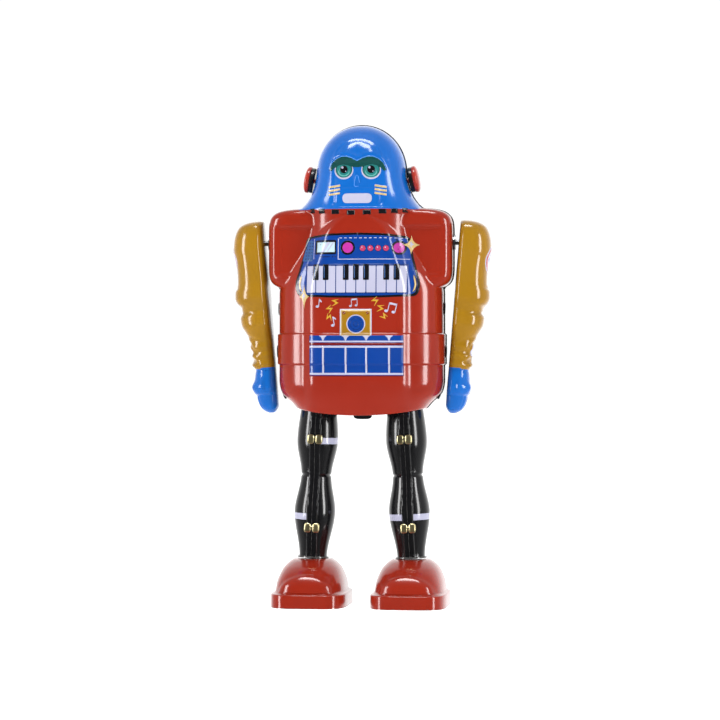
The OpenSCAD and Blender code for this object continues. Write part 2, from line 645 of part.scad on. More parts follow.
// Half the angle of a tooth at radius r, with the backlash taken off its flanks
function tooth_half(teeth, m, r) =
    let (p = gear_r(teeth, m), rb = p * cos(pressure), rr = max(r, rb))
    90 / teeth - backlash / p / 4 * 180 / PI + involute(rb, p) - involute(rb, rr);
function gear_points(teeth, m) =
    let (p = gear_r(teeth, m), ro = p + 0.85 * m, ri = p - 1.15 * m, rb = p * cos(pressure),
        radii = [ri, max(ri + 0.01, min(rb, p)), p, mix(p, ro, 0.5), ro])
    [for (k = [0 : teeth - 1]) let (a = 360 * k / teeth) each concat(
        [for (i = [0 : 4]) let (h = tooth_half(teeth, m, radii[i])) radii[i] * [cos(a - h), sin(a - h)]],
        [for (i = [4 : -1 : 0]) let (h = tooth_half(teeth, m, radii[i])) radii[i] * [cos(a + h), sin(a + h)]])];
// A gear standing on y0, turned so that a tooth points at angle turn, from +X towards +Z
module gear(teeth, m, y0, thick, bore, turn) {
    translate([0, y0, 0]) rotate([90, 0, 0]) rotate([0, 0, turn]) translate([0, 0, -thick])
        linear_extrude(height = thick) difference() {
            polygon(gear_points(teeth, m));
            circle(r = bore);
        }
}

// Arbor places, as [x, z]: the third and second axes follow from the pitch radii
a0 = [0, axis_z];
a3 = [0, crank_z];
d02 = gear_r(great_teeth, module_1) + gear_r(pinion_teeth, module_1);
d23 = gear_r(second_teeth, module_2) + gear_r(pinion_teeth, module_2);
d34 = gear_r(third_teeth, module_2) + gear_r(pinion_teeth, module_2);
d03 = axis_z - crank_z;
up23 = (d23 * d23 - d02 * d02 + d03 * d03) / (2 * d03);
a2 = [sqrt(d23 * d23 - up23 * up23), crank_z + up23];
governor_angle = 162;
a4 = a3 + d34 * [cos(governor_angle), sin(governor_angle)];
function bearing(from, to) = atan2(to[1] - from[1], to[0] - from[0]);
// A follower stands with a gap towards its driver where the driver has a tooth
function mesh_turn(driver_teeth, driver_turn, teeth, from, to) =
    let (b = bearing(from, to), phase = (b - driver_turn) * driver_teeth / 360)
    b + 180 + (phase - round(phase)) * 360 / teeth + 180 / teeth;
great_turn = 0;
second_turn = mesh_turn(great_teeth, great_turn, pinion_teeth, a0, a2);
crank_turn = mesh_turn(second_teeth, second_turn, pinion_teeth, a2, a3);
governor_turn = mesh_turn(third_teeth, crank_turn, pinion_teeth, a3, a4);

// Layers between the plates, as y
spring_y = [-7.4, -1.9];
ratchet_y = -1.3;
click_y = -0.2;
great_y = 0.9;
great_t = 1;
second_y = 3.4;
third_y = 5.6;
wheel_t = 0.8;
pivot_r = 0.6;
shaft_r = 1;
inner = plate_gap / 2;
outer = plate_gap / 2 + plate_t;

module at(p) {
    translate([p[0], 0, p[1]]) children();
}
module plate(y0, arbor_hole) {
    color("#b9bbbf") difference() {
        translate([-plate_hw, y0, plate_lo]) cube([2 * plate_hw, plate_t, plate_hi - plate_lo]);
        at(a0) along_y(arbor_hole, y0 - 1, y0 + plate_t + 1);
        for (p = [a2, a4]) at(p) along_y(pivot_r + run, y0 - 1, y0 + plate_t + 1);
        at(a3) along_y(shaft_r + run, y0 - 1, y0 + plate_t + 1);
        for (x = [-pillar_x, pillar_x], z = pillar_z) at([x, z]) along_y(1, y0 - 1, y0 + plate_t + 1);
    }
}
pillar_x = plate_hw - 2.8;
pillar_z = [plate_lo + 2.8, plate_hi - 2.8];
module front_plate() {
    plate(-outer, arbor_r - 0.4 + run);
}
module back_plate() {
    plate(inner, arbor_r + run);
}
module plate_pillars() {
    color("#d8b45a") for (x = [-pillar_x, pillar_x], z = pillar_z) at([x, z]) {
        along_y(1.6, -inner, inner);
        along_y(0.9, -outer - 0.3, outer + 0.3);
        along_y(1.5, -outer - 0.6, -outer);
        along_y(1.5, outer, outer + 0.6);
    }
}
module winding_arbor() {
    color("#8f9196") at(a0) {
        along_y(arbor_r - 0.4, -outer - 0.6, -inner + 0.3);
        along_y(arbor_r, -inner + 0.3, back_depth + 4);
        translate([-1.3, back_depth + 4 - 0.5, -1.3]) cube([2.6, 4.5, 2.6]);
    }
}
// The key: a tube over the arbor's square end, with two rounded wings
key_from = back_depth + 2.2;
key_tip = back_depth + key_reach;
module winding_key() {
    wing_t = 1.2;
    lobe_r = (key_tip - key_from - 4) / 2;
    color("#c9ccd1") at(a0) {
        difference() {
            along_y(3, key_from, key_tip - 4.5);
            along_y(arbor_r + 0.02, key_from - 1, back_depth + 4);
            translate([-1.32, key_from - 1, -1.32]) cube([2.64, 7.8 + 1, 2.64]);
        }
        difference() {
            union() {
                for (x = [-key_w / 2 + lobe_r, key_w / 2 - lobe_r])
                    translate([x, key_tip - lobe_r, -wing_t / 2]) cylinder(r = lobe_r, h = wing_t);
                translate([-key_w / 2 + lobe_r, key_tip - lobe_r - 3, -wing_t / 2]) cube([key_w - 2 * lobe_r, 6, wing_t]);
            }
            along_y(2.9, key_from - 1, key_tip - 4.6);
            for (x = [-key_w / 2 + lobe_r, key_w / 2 - lobe_r])
                translate([x, key_tip - lobe_r, -2]) cylinder(r = lobe_r - 2.6, h = 4);
        }
    }
}
ratchet_r = 6;
ratchet_teeth = 12;
// Saw teeth: each rises along its back and drops on a radius
module ratchet_wheel() {
    color("#b08d3c") at(a0) translate([0, ratchet_y + 0.9, 0]) rotate([90, 0, 0]) linear_extrude(height = 0.9) difference() {
        polygon([for (k = [0 : ratchet_teeth - 1]) each [
            (ratchet_r - 1.2) * [cos(360 * k / ratchet_teeth), sin(360 * k / ratchet_teeth)],
            ratchet_r * [cos(360 * (k + 1) / ratchet_teeth), sin(360 * (k + 1) / ratchet_teeth)]]]);
        circle(r = arbor_r);
    }
}
// The click hinges on the great wheel's face and its nose rests in the ratchet
click_pivot = [5.5, 8.2];
module click() {
    nose = (ratchet_r - 0.4) * [cos(30), sin(30)];
    color("#8f9196") at(a0) {
        difference() {
            union() {
                translate([0, ratchet_y + 0.8, 0]) rotate([90, 0, 0]) linear_extrude(height = 0.7)
                    polygon([nose + [0.35, 0.25], nose + [1.5, -0.4], click_pivot + [1.5, -0.6], click_pivot + [0.4, 1.4], click_pivot + [-1.4, 0.2]]);
                at(click_pivot) along_y(1.3, ratchet_y + 0.1, great_y - 0.05);
            }
            at(click_pivot) along_y(0.65, ratchet_y - 1, great_y + 1);
        }
    }
}
module click_spring() {
    color("#c4c6ca") at(a0) {
        translate([0, great_y - 0.05, 0]) rotate([90, 0, 0]) rotate([0, 0, 50])
            rotate_extrude(angle = 70) translate([11.3, 0]) square([0.4, 0.5]);
        at(11.5 * [cos(120), sin(120)]) along_y(0.9, great_y - 0.7, great_y);
    }
}
module great_wheel() {
    color("#c9a24a") at(a0) {
        difference() {
            gear(great_teeth, module_1, great_y, great_t, arbor_r + run, great_turn);
            for (a = [20 : 72 : 308])
                rotate([0, -a, 0]) translate([8.8, 0, 0]) along_y(2.2, great_y - 1, great_y + great_t + 1);
        }
        at(click_pivot) along_y(0.6, ratchet_y - 0.2, great_y + 0.2);
    }
}
// A spiral of flat spring, from beside the arbor out to its hook on a pillar
spring_turns = 7;
spring_t = 0.45;
spring_in = arbor_r + 0.7;
spring_out = 13.8;
spring_steps = 20;
function spring_point(t, side) =
    let (r = mix(spring_in, spring_out, t) + side * spring_t / 2, a = 360 * spring_turns * t)
    r * [cos(a), sin(a)];
module mainspring() {
    n = spring_turns * spring_steps;
    hook = [pillar_x - 1.65, pillar_z[1] - a0[1] + 1];
    color("#6f7a8c") at(a0) translate([0, spring_y[1], 0]) rotate([90, 0, 0])
        linear_extrude(height = spring_y[1] - spring_y[0]) polygon(concat(
            [for (i = [0 : n]) spring_point(i / n, 1)],
            [hook, hook - [spring_t, 0]],
            [for (i = [n : -1 : 0]) spring_point(i / n, -1)]));
}
// An arbor between the plates with its pinion
module arbor(p, pinion_m, pinion_y, pinion_t, turn) {
    color("#8f9196") at(p) {
        along_y(shaft_r, -inner + 0.4, inner - 0.4);
        along_y(pivot_r, -outer - 0.3, outer + 0.3);
        difference() {
            gear(pinion_teeth, pinion_m, pinion_y, pinion_t, shaft_r / 2, turn);
            along_y(shaft_r / 2 + 0.2, pinion_y - 0.1, pinion_y + pinion_t + 0.1);
        }
    }
}
module second_arbor() {
    arbor(a2, module_1, great_y - 0.4, great_t + 0.8, second_turn);
}
module spoked(teeth, m, y0, turn, bore) {
    r = gear_r(teeth, m);
    difference() {
        gear(teeth, m, y0, wheel_t, bore, turn);
        for (k = [0 : 3])
            rotate([0, -turn - 90 * k - 45, 0]) translate([r * 0.58, 0, 0]) along_y(r * 0.22, y0 - 1, y0 + wheel_t + 1);
    }
}
module second_wheel() {
    color("#c9a24a") at(a2) spoked(second_teeth, module_2, second_y, second_turn, shaft_r);
}
// The crank arbor runs through the front plate to the crank disc
module crank_arbor() {
    color("#8f9196") at(a3) {
        along_y(shaft_r, disc_y - 0.3, outer + 0.3);
        difference() {
            gear(pinion_teeth, module_2, second_y - 0.4, wheel_t + 0.8, shaft_r / 2, crank_turn);
            along_y(shaft_r / 2 + 0.2, second_y - 1, second_y + wheel_t + 1);
        }
    }
}
module third_wheel() {
    color("#c9a24a") at(a3) spoked(third_teeth, module_2, third_y, crank_turn, shaft_r);
}
module crank_disc() {
    color("#b9bbbf") at(a3) {
        difference() {
            along_y(crank_r + 2, disc_y, disc_y + plate_t);
            along_y(shaft_r, disc_y - 1, disc_y + 2);
        }
        for (x = [-crank_r, crank_r]) translate([x, 0, 0]) along_y(0.7, link_y + link_t / 2 + gap, disc_y + 0.2);
    }
}
module governor_arbor() {
    arbor(a4, module_2, third_y - 0.4, wheel_t + 0.8, governor_turn);
}
module governor_rotor() {
    color("#c9a24a") at(a4) difference() {
        union() {
            along_y(2.2, -4.6, -2.4);
            for (x = [-1, 1]) translate([x * 3.9, 0, 0]) along_y(2.2, -4.2, -2.8);
            translate([-3.9, -3.9, -1]) cube([7.8, 0.8, 2]);
        }
        along_y(shaft_r, -6, 0);
    }
}

module whole(name) {
    translate([0, centre_y, 0]) children();
}
whole("front_shell") front_shell();
whole("back_shell") back_shell();
whole("right_ear_ring") sided(RIGHT) ear_ring();
whole("left_ear_ring") sided(LEFT) ear_ring();
whole("right_ear_cap") sided(RIGHT) ear_cap();
whole("left_ear_cap") sided(LEFT) ear_cap();
whole("ear_nuts") ear_nuts();
whole("right_arm_outer") arm_outer(RIGHT);
whole("right_arm_inner") arm_inner(RIGHT);
whole("right_arm_shaft") arm_shaft(RIGHT);
whole("right_arm_boss") arm_boss(RIGHT);
whole("right_arm_lever") arm_lever_part(RIGHT);
whole("left_arm_outer") arm_outer(LEFT);
whole("left_arm_inner") arm_inner(LEFT);
whole("left_arm_shaft") arm_shaft(LEFT);
whole("left_arm_boss") arm_boss(LEFT);
whole("left_arm_lever") arm_lever_part(LEFT);
whole("shoulder_bracket") shoulder_bracket();
whole("shoulder_bushes") shoulder_bushes();
whole("right_arm_link") arm_link(RIGHT);
whole("left_arm_link") arm_link(LEFT);
whole("hip_bracket") hip_bracket();
whole("hip_axle") hip_axle();
whole("hip_caps") hip_caps();
whole("right_leg_outer") leg_outer(RIGHT);
whole("right_leg_inner") leg_inner(RIGHT);
whole("right_leg_bracket") leg_bracket(RIGHT);
whole("right_leg_clips") leg_clips(RIGHT);
whole("right_foot_shell") foot_shell(RIGHT);
whole("right_sole") sole(RIGHT);
whole("right_ankle_rivet") ankle_rivet(RIGHT);
whole("left_leg_outer") leg_outer(LEFT);
whole("left_leg_inner") leg_inner(LEFT);
whole("left_leg_bracket") leg_bracket(LEFT);
whole("left_leg_clips") leg_clips(LEFT);
whole("left_foot_shell") foot_shell(LEFT);
whole("left_sole") sole(LEFT);
whole("left_ankle_rivet") ankle_rivet(LEFT);
whole("right_drive_link") drive_link(RIGHT);
whole("left_drive_link") drive_link(LEFT);
whole("front_plate") front_plate();
whole("back_plate") back_plate();
whole("plate_pillars") plate_pillars();
whole("mounting_posts") mounting_posts();
whole("mounting_screws") mounting_screws();
whole("winding_key") winding_key();
whole("winding_arbor") winding_arbor();
whole("ratchet_wheel") ratchet_wheel();
whole("click") click();
whole("click_spring") click_spring();
whole("great_wheel") great_wheel();
whole("mainspring") mainspring();
whole("second_arbor") second_arbor();
whole("second_wheel") second_wheel();
whole("crank_arbor") crank_arbor();
whole("third_wheel") third_wheel();
whole("crank_disc") crank_disc();
whole("governor_arbor") governor_arbor();
whole("governor_rotor") governor_rotor();
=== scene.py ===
"""Looks of a tin wind-up robot: pressed and printed tin shells, limbs, feet, key and clockwork.

Every length inside the classes is in millimetres and is scaled to metres where a mesh is made.
The robot faces -Y, and its right side is -X.
"""

from __future__ import annotations

import json
import logging
import math
from dataclasses import dataclass, field
from enum import Enum
from typing import Callable, Iterable, Sequence

import bmesh
import bpy
import numpy as np
from mathutils import Matrix, Vector

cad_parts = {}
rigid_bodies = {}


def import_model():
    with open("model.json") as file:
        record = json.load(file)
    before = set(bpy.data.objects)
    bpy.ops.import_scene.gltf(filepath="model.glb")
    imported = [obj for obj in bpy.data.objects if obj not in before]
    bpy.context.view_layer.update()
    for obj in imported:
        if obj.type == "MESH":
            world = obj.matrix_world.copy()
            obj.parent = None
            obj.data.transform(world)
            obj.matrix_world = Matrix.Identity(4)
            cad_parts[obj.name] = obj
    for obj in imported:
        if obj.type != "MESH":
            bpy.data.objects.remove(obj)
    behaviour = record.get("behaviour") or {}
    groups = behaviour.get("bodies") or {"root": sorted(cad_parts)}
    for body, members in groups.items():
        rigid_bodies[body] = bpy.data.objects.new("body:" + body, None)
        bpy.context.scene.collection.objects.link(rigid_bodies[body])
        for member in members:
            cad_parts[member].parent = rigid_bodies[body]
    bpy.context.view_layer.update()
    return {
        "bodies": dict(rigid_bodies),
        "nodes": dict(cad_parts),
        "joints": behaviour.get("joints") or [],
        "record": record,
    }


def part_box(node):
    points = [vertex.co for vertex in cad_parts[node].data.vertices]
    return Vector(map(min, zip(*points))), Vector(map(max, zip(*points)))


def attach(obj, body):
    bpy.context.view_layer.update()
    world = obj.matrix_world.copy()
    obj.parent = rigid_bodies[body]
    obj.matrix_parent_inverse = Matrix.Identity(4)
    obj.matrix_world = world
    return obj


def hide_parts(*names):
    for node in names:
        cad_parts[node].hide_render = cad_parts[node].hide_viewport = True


LOG = logging.getLogger("tin_robot")
MM = 0.001
Array = np.ndarray
Point = tuple[float, float]
Colour = tuple[float, float, float]
Faces = list[list[int]]
Solid = tuple[Array, Faces]

# Sockets of the Mix node, by number: its names repeat from one data type to the next.
MIX_SHARE = 0
MIX_NUMBERS = (2, 3)
MIX_COLOURS = (6, 7)
MIX_COLOUR_OUT = 2

WHITE_LIGHT = (1.0, 1.0, 1.0, 1.0)


class Side(Enum):
    """The robot's own right or left, with the sign of its X."""

    RIGHT = -1
    LEFT = 1

    @property
    def word(self) -> str:
        """The name used in node and body names."""
        return self.name.lower()


def ease(t: Array | float) -> Array | float:
    """Smooth step from 0 to 1."""
    u = np.clip(t, 0.0, 1.0)
    return u * u * (3.0 - 2.0 * u)


def mix(a: Array | float, b: Array | float, t: Array | float) -> Array | float:
    """Value between a and b at share t."""
    return a + (b - a) * t


def hump(x: Array | float, centre: float, width: float) -> Array | float:
    """Bell curve of height 1."""
    return np.exp(-(((x - centre) / width) ** 2))


def oval(c: Array, s: Array, a: Array, b: Array, n: float) -> Array:
    """Distance to a superellipse of half sizes a and b in the direction (c, s)."""
    return ((np.abs(c) / a) ** n + (np.abs(s) / b) ** n) ** (-1.0 / n)


def blend_max(a: Array, b: Array, k: float) -> Array:
    """Greater of two values, with a soft corner of size k."""
    return np.maximum(a, b) + np.maximum(k - np.abs(a - b), 0) ** 2 / (4 * k)


def smooth_curve(stations: Sequence[Sequence[float]], at: Array) -> Array:
    """Monotone cubic through stations.

    Args:
        stations: rows of a place followed by the values there, places rising.
        at: places wanted.

    Returns:
        One row of values for each place.
    """
    table = np.array(stations, dtype=float)
    x, y = table[:, 0], table[:, 1:]
    h = np.diff(x)[:, None]
    d = np.diff(y, axis=0) / h
    m = np.zeros_like(y)
    m[0], m[-1] = d[0], d[-1]
    same = d[:-1] * d[1:] > 0
    harmonic = 2 * d[:-1] * d[1:] / np.where(same, d[:-1] + d[1:], 1)
    m[1:-1] = np.where(same, harmonic, 0)
    k = np.clip(np.searchsorted(x, at, side="right") - 1, 0, len(x) - 2)
    t = ((at - x[k]) / h[k, 0])[:, None]
    return ((2 * t**3 - 3 * t**2 + 1) * y[k] + (t**3 - 2 * t**2 + t) * h[k] * m[k]
            + (-2 * t**3 + 3 * t**2) * y[k + 1] + (t**3 - t**2) * h[k] * m[k + 1])


# materials


class NodeTools:
    """Short calls for putting nodes and links into a tree."""

    def __init__(self, tree: bpy.types.NodeTree) -> None:
        """Keep the tree that the calls work on."""
        self.tree = tree

    def add(self, kind: str, values: dict[str, object] | None = None, **props: object) -> bpy.types.Node:
        """Add a node.

        Args:
            kind: the node's bl_idname.
            values: input name to value or to the socket that feeds it.
            props: node properties.

        Returns:
            The new node.
        """
        node = self.tree.nodes.new(kind)
        for key, value in props.items():
            setattr(node, key, value)
        for key, value in (values or {}).items():
            socket = node.inputs[key]
            if isinstance(value, bpy.types.NodeSocket):
                self.tree.links.new(value, socket)
            else:
                socket.default_value = value
        return node

    def mix_colour(self, share: object, a: object, b: object) -> bpy.types.NodeSocket:
        """Mix two colours.

        Args:
            share: how much of b, as a number or a socket.
            a: first colour, or the socket that gives it.
            b: second colour, or the socket that gives it.

        Returns:
            The socket of the mixed colour.
        """
        values = {MIX_SHARE: share, MIX_COLOURS[0]: a, MIX_COLOURS[1]: b}
        return self.add("ShaderNodeMix", values, data_type="RGBA").outputs[MIX_COLOUR_OUT]

    def calc(self, operation: str, *values: object, clamp: bool = False) -> bpy.types.NodeSocket:
        """Result of a maths node fed with up to three numbers or sockets."""
        node = self.add("ShaderNodeMath", dict(enumerate(values)), operation=operation, use_clamp=clamp)
        return node.outputs[0]

    def remap(self, value: object, low: float, high: float, to_low: float = 0.0,
              to_high: float = 1.0) -> bpy.types.NodeSocket:
        """Map a range of values to another, held at its ends.

        Args:
            value: the socket to read.
            low: start of the range read.
            high: end of the range read.
            to_low: value given at the start.
            to_high: value given at the end.

        Returns:
            The socket of the result.
        """
        node = self.add("ShaderNodeMapRange", {"Value": value, "From Min": low, "From Max": high,
                                               "To Min": to_low, "To Max": to_high})
        return node.outputs["Result"]


def new_group(name: str, inputs: dict[str, float], outputs: Sequence[str]) -> tuple[
        bpy.types.NodeTree, bpy.types.Node, bpy.types.Node]:
    """Make a shader group whose sockets are all plain numbers.

    Args:
        name: the group's name.
        inputs: name and default of each input.
        outputs: name of each output.

    Returns:
        The tree, its input node and its output node.
    """
    tree = bpy.data.node_groups.new(name, "ShaderNodeTree")
    for label, default in inputs.items():
        socket = tree.interface.new_socket(label, in_out="INPUT", socket_type="NodeSocketFloat")
        socket.default_value = default
    for label in outputs:
        tree.interface.new_socket(label, in_out="OUTPUT", socket_type="NodeSocketFloat")
    return tree, tree.nodes.new("NodeGroupInput"), tree.nodes.new("NodeGroupOutput")


class SharedEffects:
    """Node groups that more than one finish places in its material."""

    def __init__(self) -> None:
        """Build each group once."""
        self.wear = self._edge_wear()
        self.skin = self._press_skin()
        self.rub = self._handling()

    @staticmethod
    def _edge_wear() -> bpy.types.NodeTree:
        """Mask of paint rubbed off along sharp outward edges, broken up by noise.

        Returns:
            The group.
        """
        sharpness = 14.0
        inputs = {"Edge": 0.0, "Start": 0.3, "Amount": 0.5, "Scale": 900.0}
        tree, gi, go = new_group("edge_wear", inputs, ["Mask"])
        kit = NodeTools(tree)
        place = kit.add("ShaderNodeTexCoord")
        noise = kit.add("ShaderNodeTexNoise",
                        {"Vector": place.outputs["Object"], "Scale": gi.outputs["Scale"],
                                               "Detail": 5.0, "Roughness": 0.65})
        broken = kit.calc("MULTIPLY", gi.outputs["Edge"], noise.outputs["Fac"])
        over = kit.calc("SUBTRACT", broken, gi.outputs["Start"])
        gain = kit.calc("MULTIPLY", over, sharpness, clamp=True)
        mask = kit.calc("MULTIPLY", gain, gi.outputs["Amount"])
        tree.links.new(mask, go.inputs["Mask"])
        return tree

    @staticmethod
    def _press_skin() -> bpy.types.NodeTree:
        """Height of pressed sheet: slow waviness with a fine varnish skin on it.

        Returns:
            The group.
        """
        inputs = {"Wave": 40.0, "Fine": 1500.0, "Fine Share": 0.12}
        tree, gi, go = new_group("press_skin", inputs, ["Height", "Tone"])
        kit = NodeTools(tree)
        place = kit.add("ShaderNodeTexCoord")
        slow = kit.add("ShaderNodeTexNoise", {"Vector": place.outputs["Object"], "Scale": gi.outputs["Wave"],
                                              "Detail": 2.0, "Roughness": 0.4})
        fine = kit.add("ShaderNodeTexNoise", {"Vector": place.outputs["Object"], "Scale": gi.outputs["Fine"],
                                              "Detail": 3.0})
        part = kit.calc("MULTIPLY", fine.outputs["Fac"], gi.outputs["Fine Share"])
        both = kit.calc("ADD", slow.outputs["Fac"], part)
        tree.links.new(both, go.inputs["Height"])
        tree.links.new(slow.outputs["Fac"], go.inputs["Tone"])
        return tree

    @staticmethod
    def _handling() -> bpy.types.NodeTree:
        """Masks of hairline scratches and of faint dull smears from handling.

        Returns:
            The group.
        """
        slant = (0.3, 0.5, 0.9)
        tree, gi, go = new_group("handling", {"Stretch": 12.0, "Scale": 300.0}, ["Scratch", "Smear"])
        kit = NodeTools(tree)
        place = kit.add("ShaderNodeTexCoord")
        turn = kit.add("ShaderNodeMapping", {"Vector": place.outputs["Object"], "Rotation": slant})
        split = kit.add("ShaderNodeSeparateXYZ", {"Vector": turn.outputs[0]})
        longer = kit.calc("DIVIDE", split.outputs["Z"], gi.outputs["Stretch"])
        drawn = kit.add("ShaderNodeCombineXYZ",
                        {"X": split.outputs["X"], "Y": split.outputs["Y"], "Z": longer})
        lines = kit.add("ShaderNodeTexNoise", {"Vector": drawn.outputs[0], "Scale": gi.outputs["Scale"],
                                               "Detail": 6.0, "Roughness": 0.75})
        thin = kit.remap(lines.outputs["Fac"], 0.70, 0.74)
        smear = kit.add("ShaderNodeTexNoise",
                        {"Vector": place.outputs["Object"], "Scale": 28.0, "Detail": 4.0,
                                               "Distortion": 0.6})
        soft = kit.remap(smear.outputs["Fac"], 0.45, 0.7)
        tree.links.new(thin, go.inputs["Scratch"])
        tree.links.new(soft, go.inputs["Smear"])
        return tree


def rgba(colour: Colour, gain: float = 1.0) -> tuple[float, float, float, float]:
    """Colour with alpha 1, its values scaled by gain."""
    return (colour[0] * gain, colour[1] * gain, colour[2] * gain, 1.0)


def show(obj: bpy.types.Object) -> None:
    """Put an object into the scene."""
    bpy.context.scene.collection.objects.link(obj)


def bare_material(name: str) -> tuple[bpy.types.Material, NodeTools, bpy.types.Node]:
    """Make a material that holds one Principled shader.

    Args:
        name: the material's name.

    Returns:
        The material, its node tools and the shader node.
    """
    material = bpy.data.materials.new(name)
    material.use_nodes = True
    kit = NodeTools(material.node_tree)
    return material, kit, material.node_tree.nodes["Principled BSDF"]


@dataclass(frozen=True)
class PrintedTin:
    """Lacquered ink over tin plate: clear gloss, slight waviness, worn sharp edges."""

    name: str
    colour: Colour
    gloss: float = 0.16
    edge: float = 0.55
    wave: float = 0.00012
    wave_strength: float = 0.35
    depth: float = 0.8
    swing: float = 0.05
    scratch: float = 0.10
    smear: float = 0.10
    specular: float = 0.28
    coat: float = 0.55
    coat_roughness: float = 0.10
    coat_ior: float = 1.5
    bare_tin: Colour = (0.42, 0.41, 0.39)
    scratch_tone: float = 0.75
    scratch_share: float = 0.35

    def build(self, fx: SharedEffects) -> bpy.types.Material:
        """Make the material.

        Args:
            fx: the shared node groups.

        Returns:
            The material.
        """
        material, kit, shader = bare_material(self.name)
        skin = kit.add("ShaderNodeGroup", node_tree=fx.skin)
        rub = kit.add("ShaderNodeGroup", node_tree=fx.rub)
        mark = kit.add("ShaderNodeAttribute", attribute_name="edge")
        wear = kit.add("ShaderNodeGroup", node_tree=fx.wear)
        kit.tree.links.new(mark.outputs["Fac"], wear.inputs["Edge"])
        wear.inputs["Amount"].default_value = self.edge
        tone = kit.remap(skin.outputs["Tone"], 0.3, 0.7)
        thick = rgba(self.colour, (1 - self.swing) * self.depth)
        thin = rgba(self.colour, (1 + self.swing) * self.depth)
        ink = kit.mix_colour(tone, thick, thin)
        pale = tuple(min(1.0, mix(c, self.scratch_tone, self.scratch_share)) for c in self.colour)
        ink = kit.mix_colour(kit.calc("MULTIPLY", rub.outputs["Scratch"], self.scratch), ink, rgba(pale))
        ink = kit.mix_colour(wear.outputs["Mask"], ink, rgba(self.bare_tin))
        kit.tree.links.new(ink, shader.inputs["Base Color"])
        kit.tree.links.new(wear.outputs["Mask"], shader.inputs["Metallic"])
        rough = kit.calc("MULTIPLY_ADD", rub.outputs["Smear"], self.smear, self.gloss)
        kit.tree.links.new(rough, shader.inputs["Roughness"])
        shader.inputs["Specular IOR Level"].default_value = self.specular
        shader.inputs["Coat Weight"].default_value = self.coat
        shader.inputs["Coat Roughness"].default_value = self.coat_roughness
        shader.inputs["Coat IOR"].default_value = self.coat_ior
        bump = kit.add("ShaderNodeBump", {"Height": skin.outputs["Height"], "Strength": self.wave_strength,
                                          "Distance": self.wave})
        kit.tree.links.new(bump.outputs[0], shader.inputs["Normal"])
        return material


@dataclass(frozen=True)
class TopInk(PrintedTin):
    """Ink printed in thin figures, which shows no worn edge."""

    edge: float = 0.0


@dataclass(frozen=True)
class DrawnMetal:
    """Bare metal with a drawn or turned grain and a little tarnish."""

    name: str
    colour: Colour
    roughness: float = 0.3
    grain: float = 900.0
    stretch: float = 30.0
    wave: float = 160.0
    tarnish: float = 0.25
    tarnish_tone: float = 0.55
    roughness_swing: float = 0.22
    groove: float = 0.00004
    groove_strength: float = 0.2

    def build(self, fx: SharedEffects) -> bpy.types.Material:
        """Make the material.

        Args:
            fx: the shared node groups.

        Returns:
            The material.
        """
        material, kit, shader = bare_material(self.name)
        rub = kit.add("ShaderNodeGroup", node_tree=fx.rub)
        rub.inputs["Stretch"].default_value = self.stretch
        rub.inputs["Scale"].default_value = self.grain
        skin = kit.add("ShaderNodeGroup", node_tree=fx.skin)
        skin.inputs["Wave"].default_value = self.wave
        dull = kit.calc("MULTIPLY", rub.outputs["Smear"], self.tarnish)
        tint = kit.mix_colour(dull, rgba(self.colour), rgba(self.colour, self.tarnish_tone))
        kit.tree.links.new(tint, shader.inputs["Base Color"])
        rough = kit.calc("MULTIPLY_ADD", skin.outputs["Tone"], self.roughness_swing, self.roughness - 0.1)
        kit.tree.links.new(rough, shader.inputs["Roughness"])
        shader.inputs["Metallic"].default_value = 1.0
        bump = kit.add("ShaderNodeBump", {"Height": rub.outputs["Scratch"], "Strength": self.groove_strength,
                                          "Distance": self.groove})
        kit.tree.links.new(bump.outputs[0], shader.inputs["Normal"])
        return material


class Ink(Enum):
    """Finishes by use, with their linear colours."""

    RED = PrintedTin("red_tin", (0.31, 0.020, 0.0075))
    BLUE = PrintedTin("blue_tin", (0.005, 0.130, 0.52))
    BLACK = PrintedTin("black_tin", (0.006, 0.006, 0.007), edge=0.2)
    YELLOW = PrintedTin("yellow_tin", (0.35, 0.175, 0.008))
    WHITE = TopInk("white_ink", (0.49, 0.49, 0.64))
    NAVY = TopInk("navy_ink", (0.008, 0.018, 0.085))
    PANEL = TopInk("panel_blue_ink", (0.003, 0.047, 0.29))
    DEEP = TopInk("deep_blue_ink", (0.005, 0.036, 0.19))
    SLATE = TopInk("slate_ink", (0.035, 0.10, 0.28))
    GREEN = TopInk("dark_green_ink", (0.006, 0.07, 0.065))
    IRIS = TopInk("iris_ink", (0.02, 0.20, 0.19))
    MINT = TopInk("mint_ink", (0.12, 0.42, 0.38))
    # Light blue of the printed nose line, also used for the painted highlight along the top of the brows.
    SKY = TopInk("sky_ink", (0.08, 0.28, 0.78))
    GLASS = TopInk("screen_ink", (0.50, 0.68, 0.76))
    GOLD = TopInk("gold_ink", (0.66, 0.48, 0.19), gloss=0.2)
    AMBER = TopInk("amber_ink", (0.62, 0.36, 0.03))
    MAGENTA = TopInk("magenta_ink", (0.48, 0.035, 0.33))
    ROSE = TopInk("rose_ink", (0.50, 0.045, 0.13))
    MAROON = TopInk("maroon_ink", (0.16, 0.008, 0.012))
    COIL = TopInk("black_ink", (0.006, 0.006, 0.008))
    EAR_RED = TopInk("ear_red", (0.46, 0.040, 0.024), gloss=0.22)
    EAR_BLACK = TopInk("ear_black", (0.008, 0.008, 0.009), gloss=0.3)
    STEEL = DrawnMetal("plated_steel", (0.60, 0.61, 0.63))
    ROD = DrawnMetal("rod_steel", (0.30, 0.31, 0.33), roughness=0.26)
    SPRING = DrawnMetal("blued_spring", (0.16, 0.20, 0.30), roughness=0.24)
    BRASS = DrawnMetal("brass", (0.78, 0.55, 0.20), roughness=0.28)
    CLIP = DrawnMetal("clip_brass", (0.78, 0.69, 0.38), roughness=0.32, tarnish=0.25)


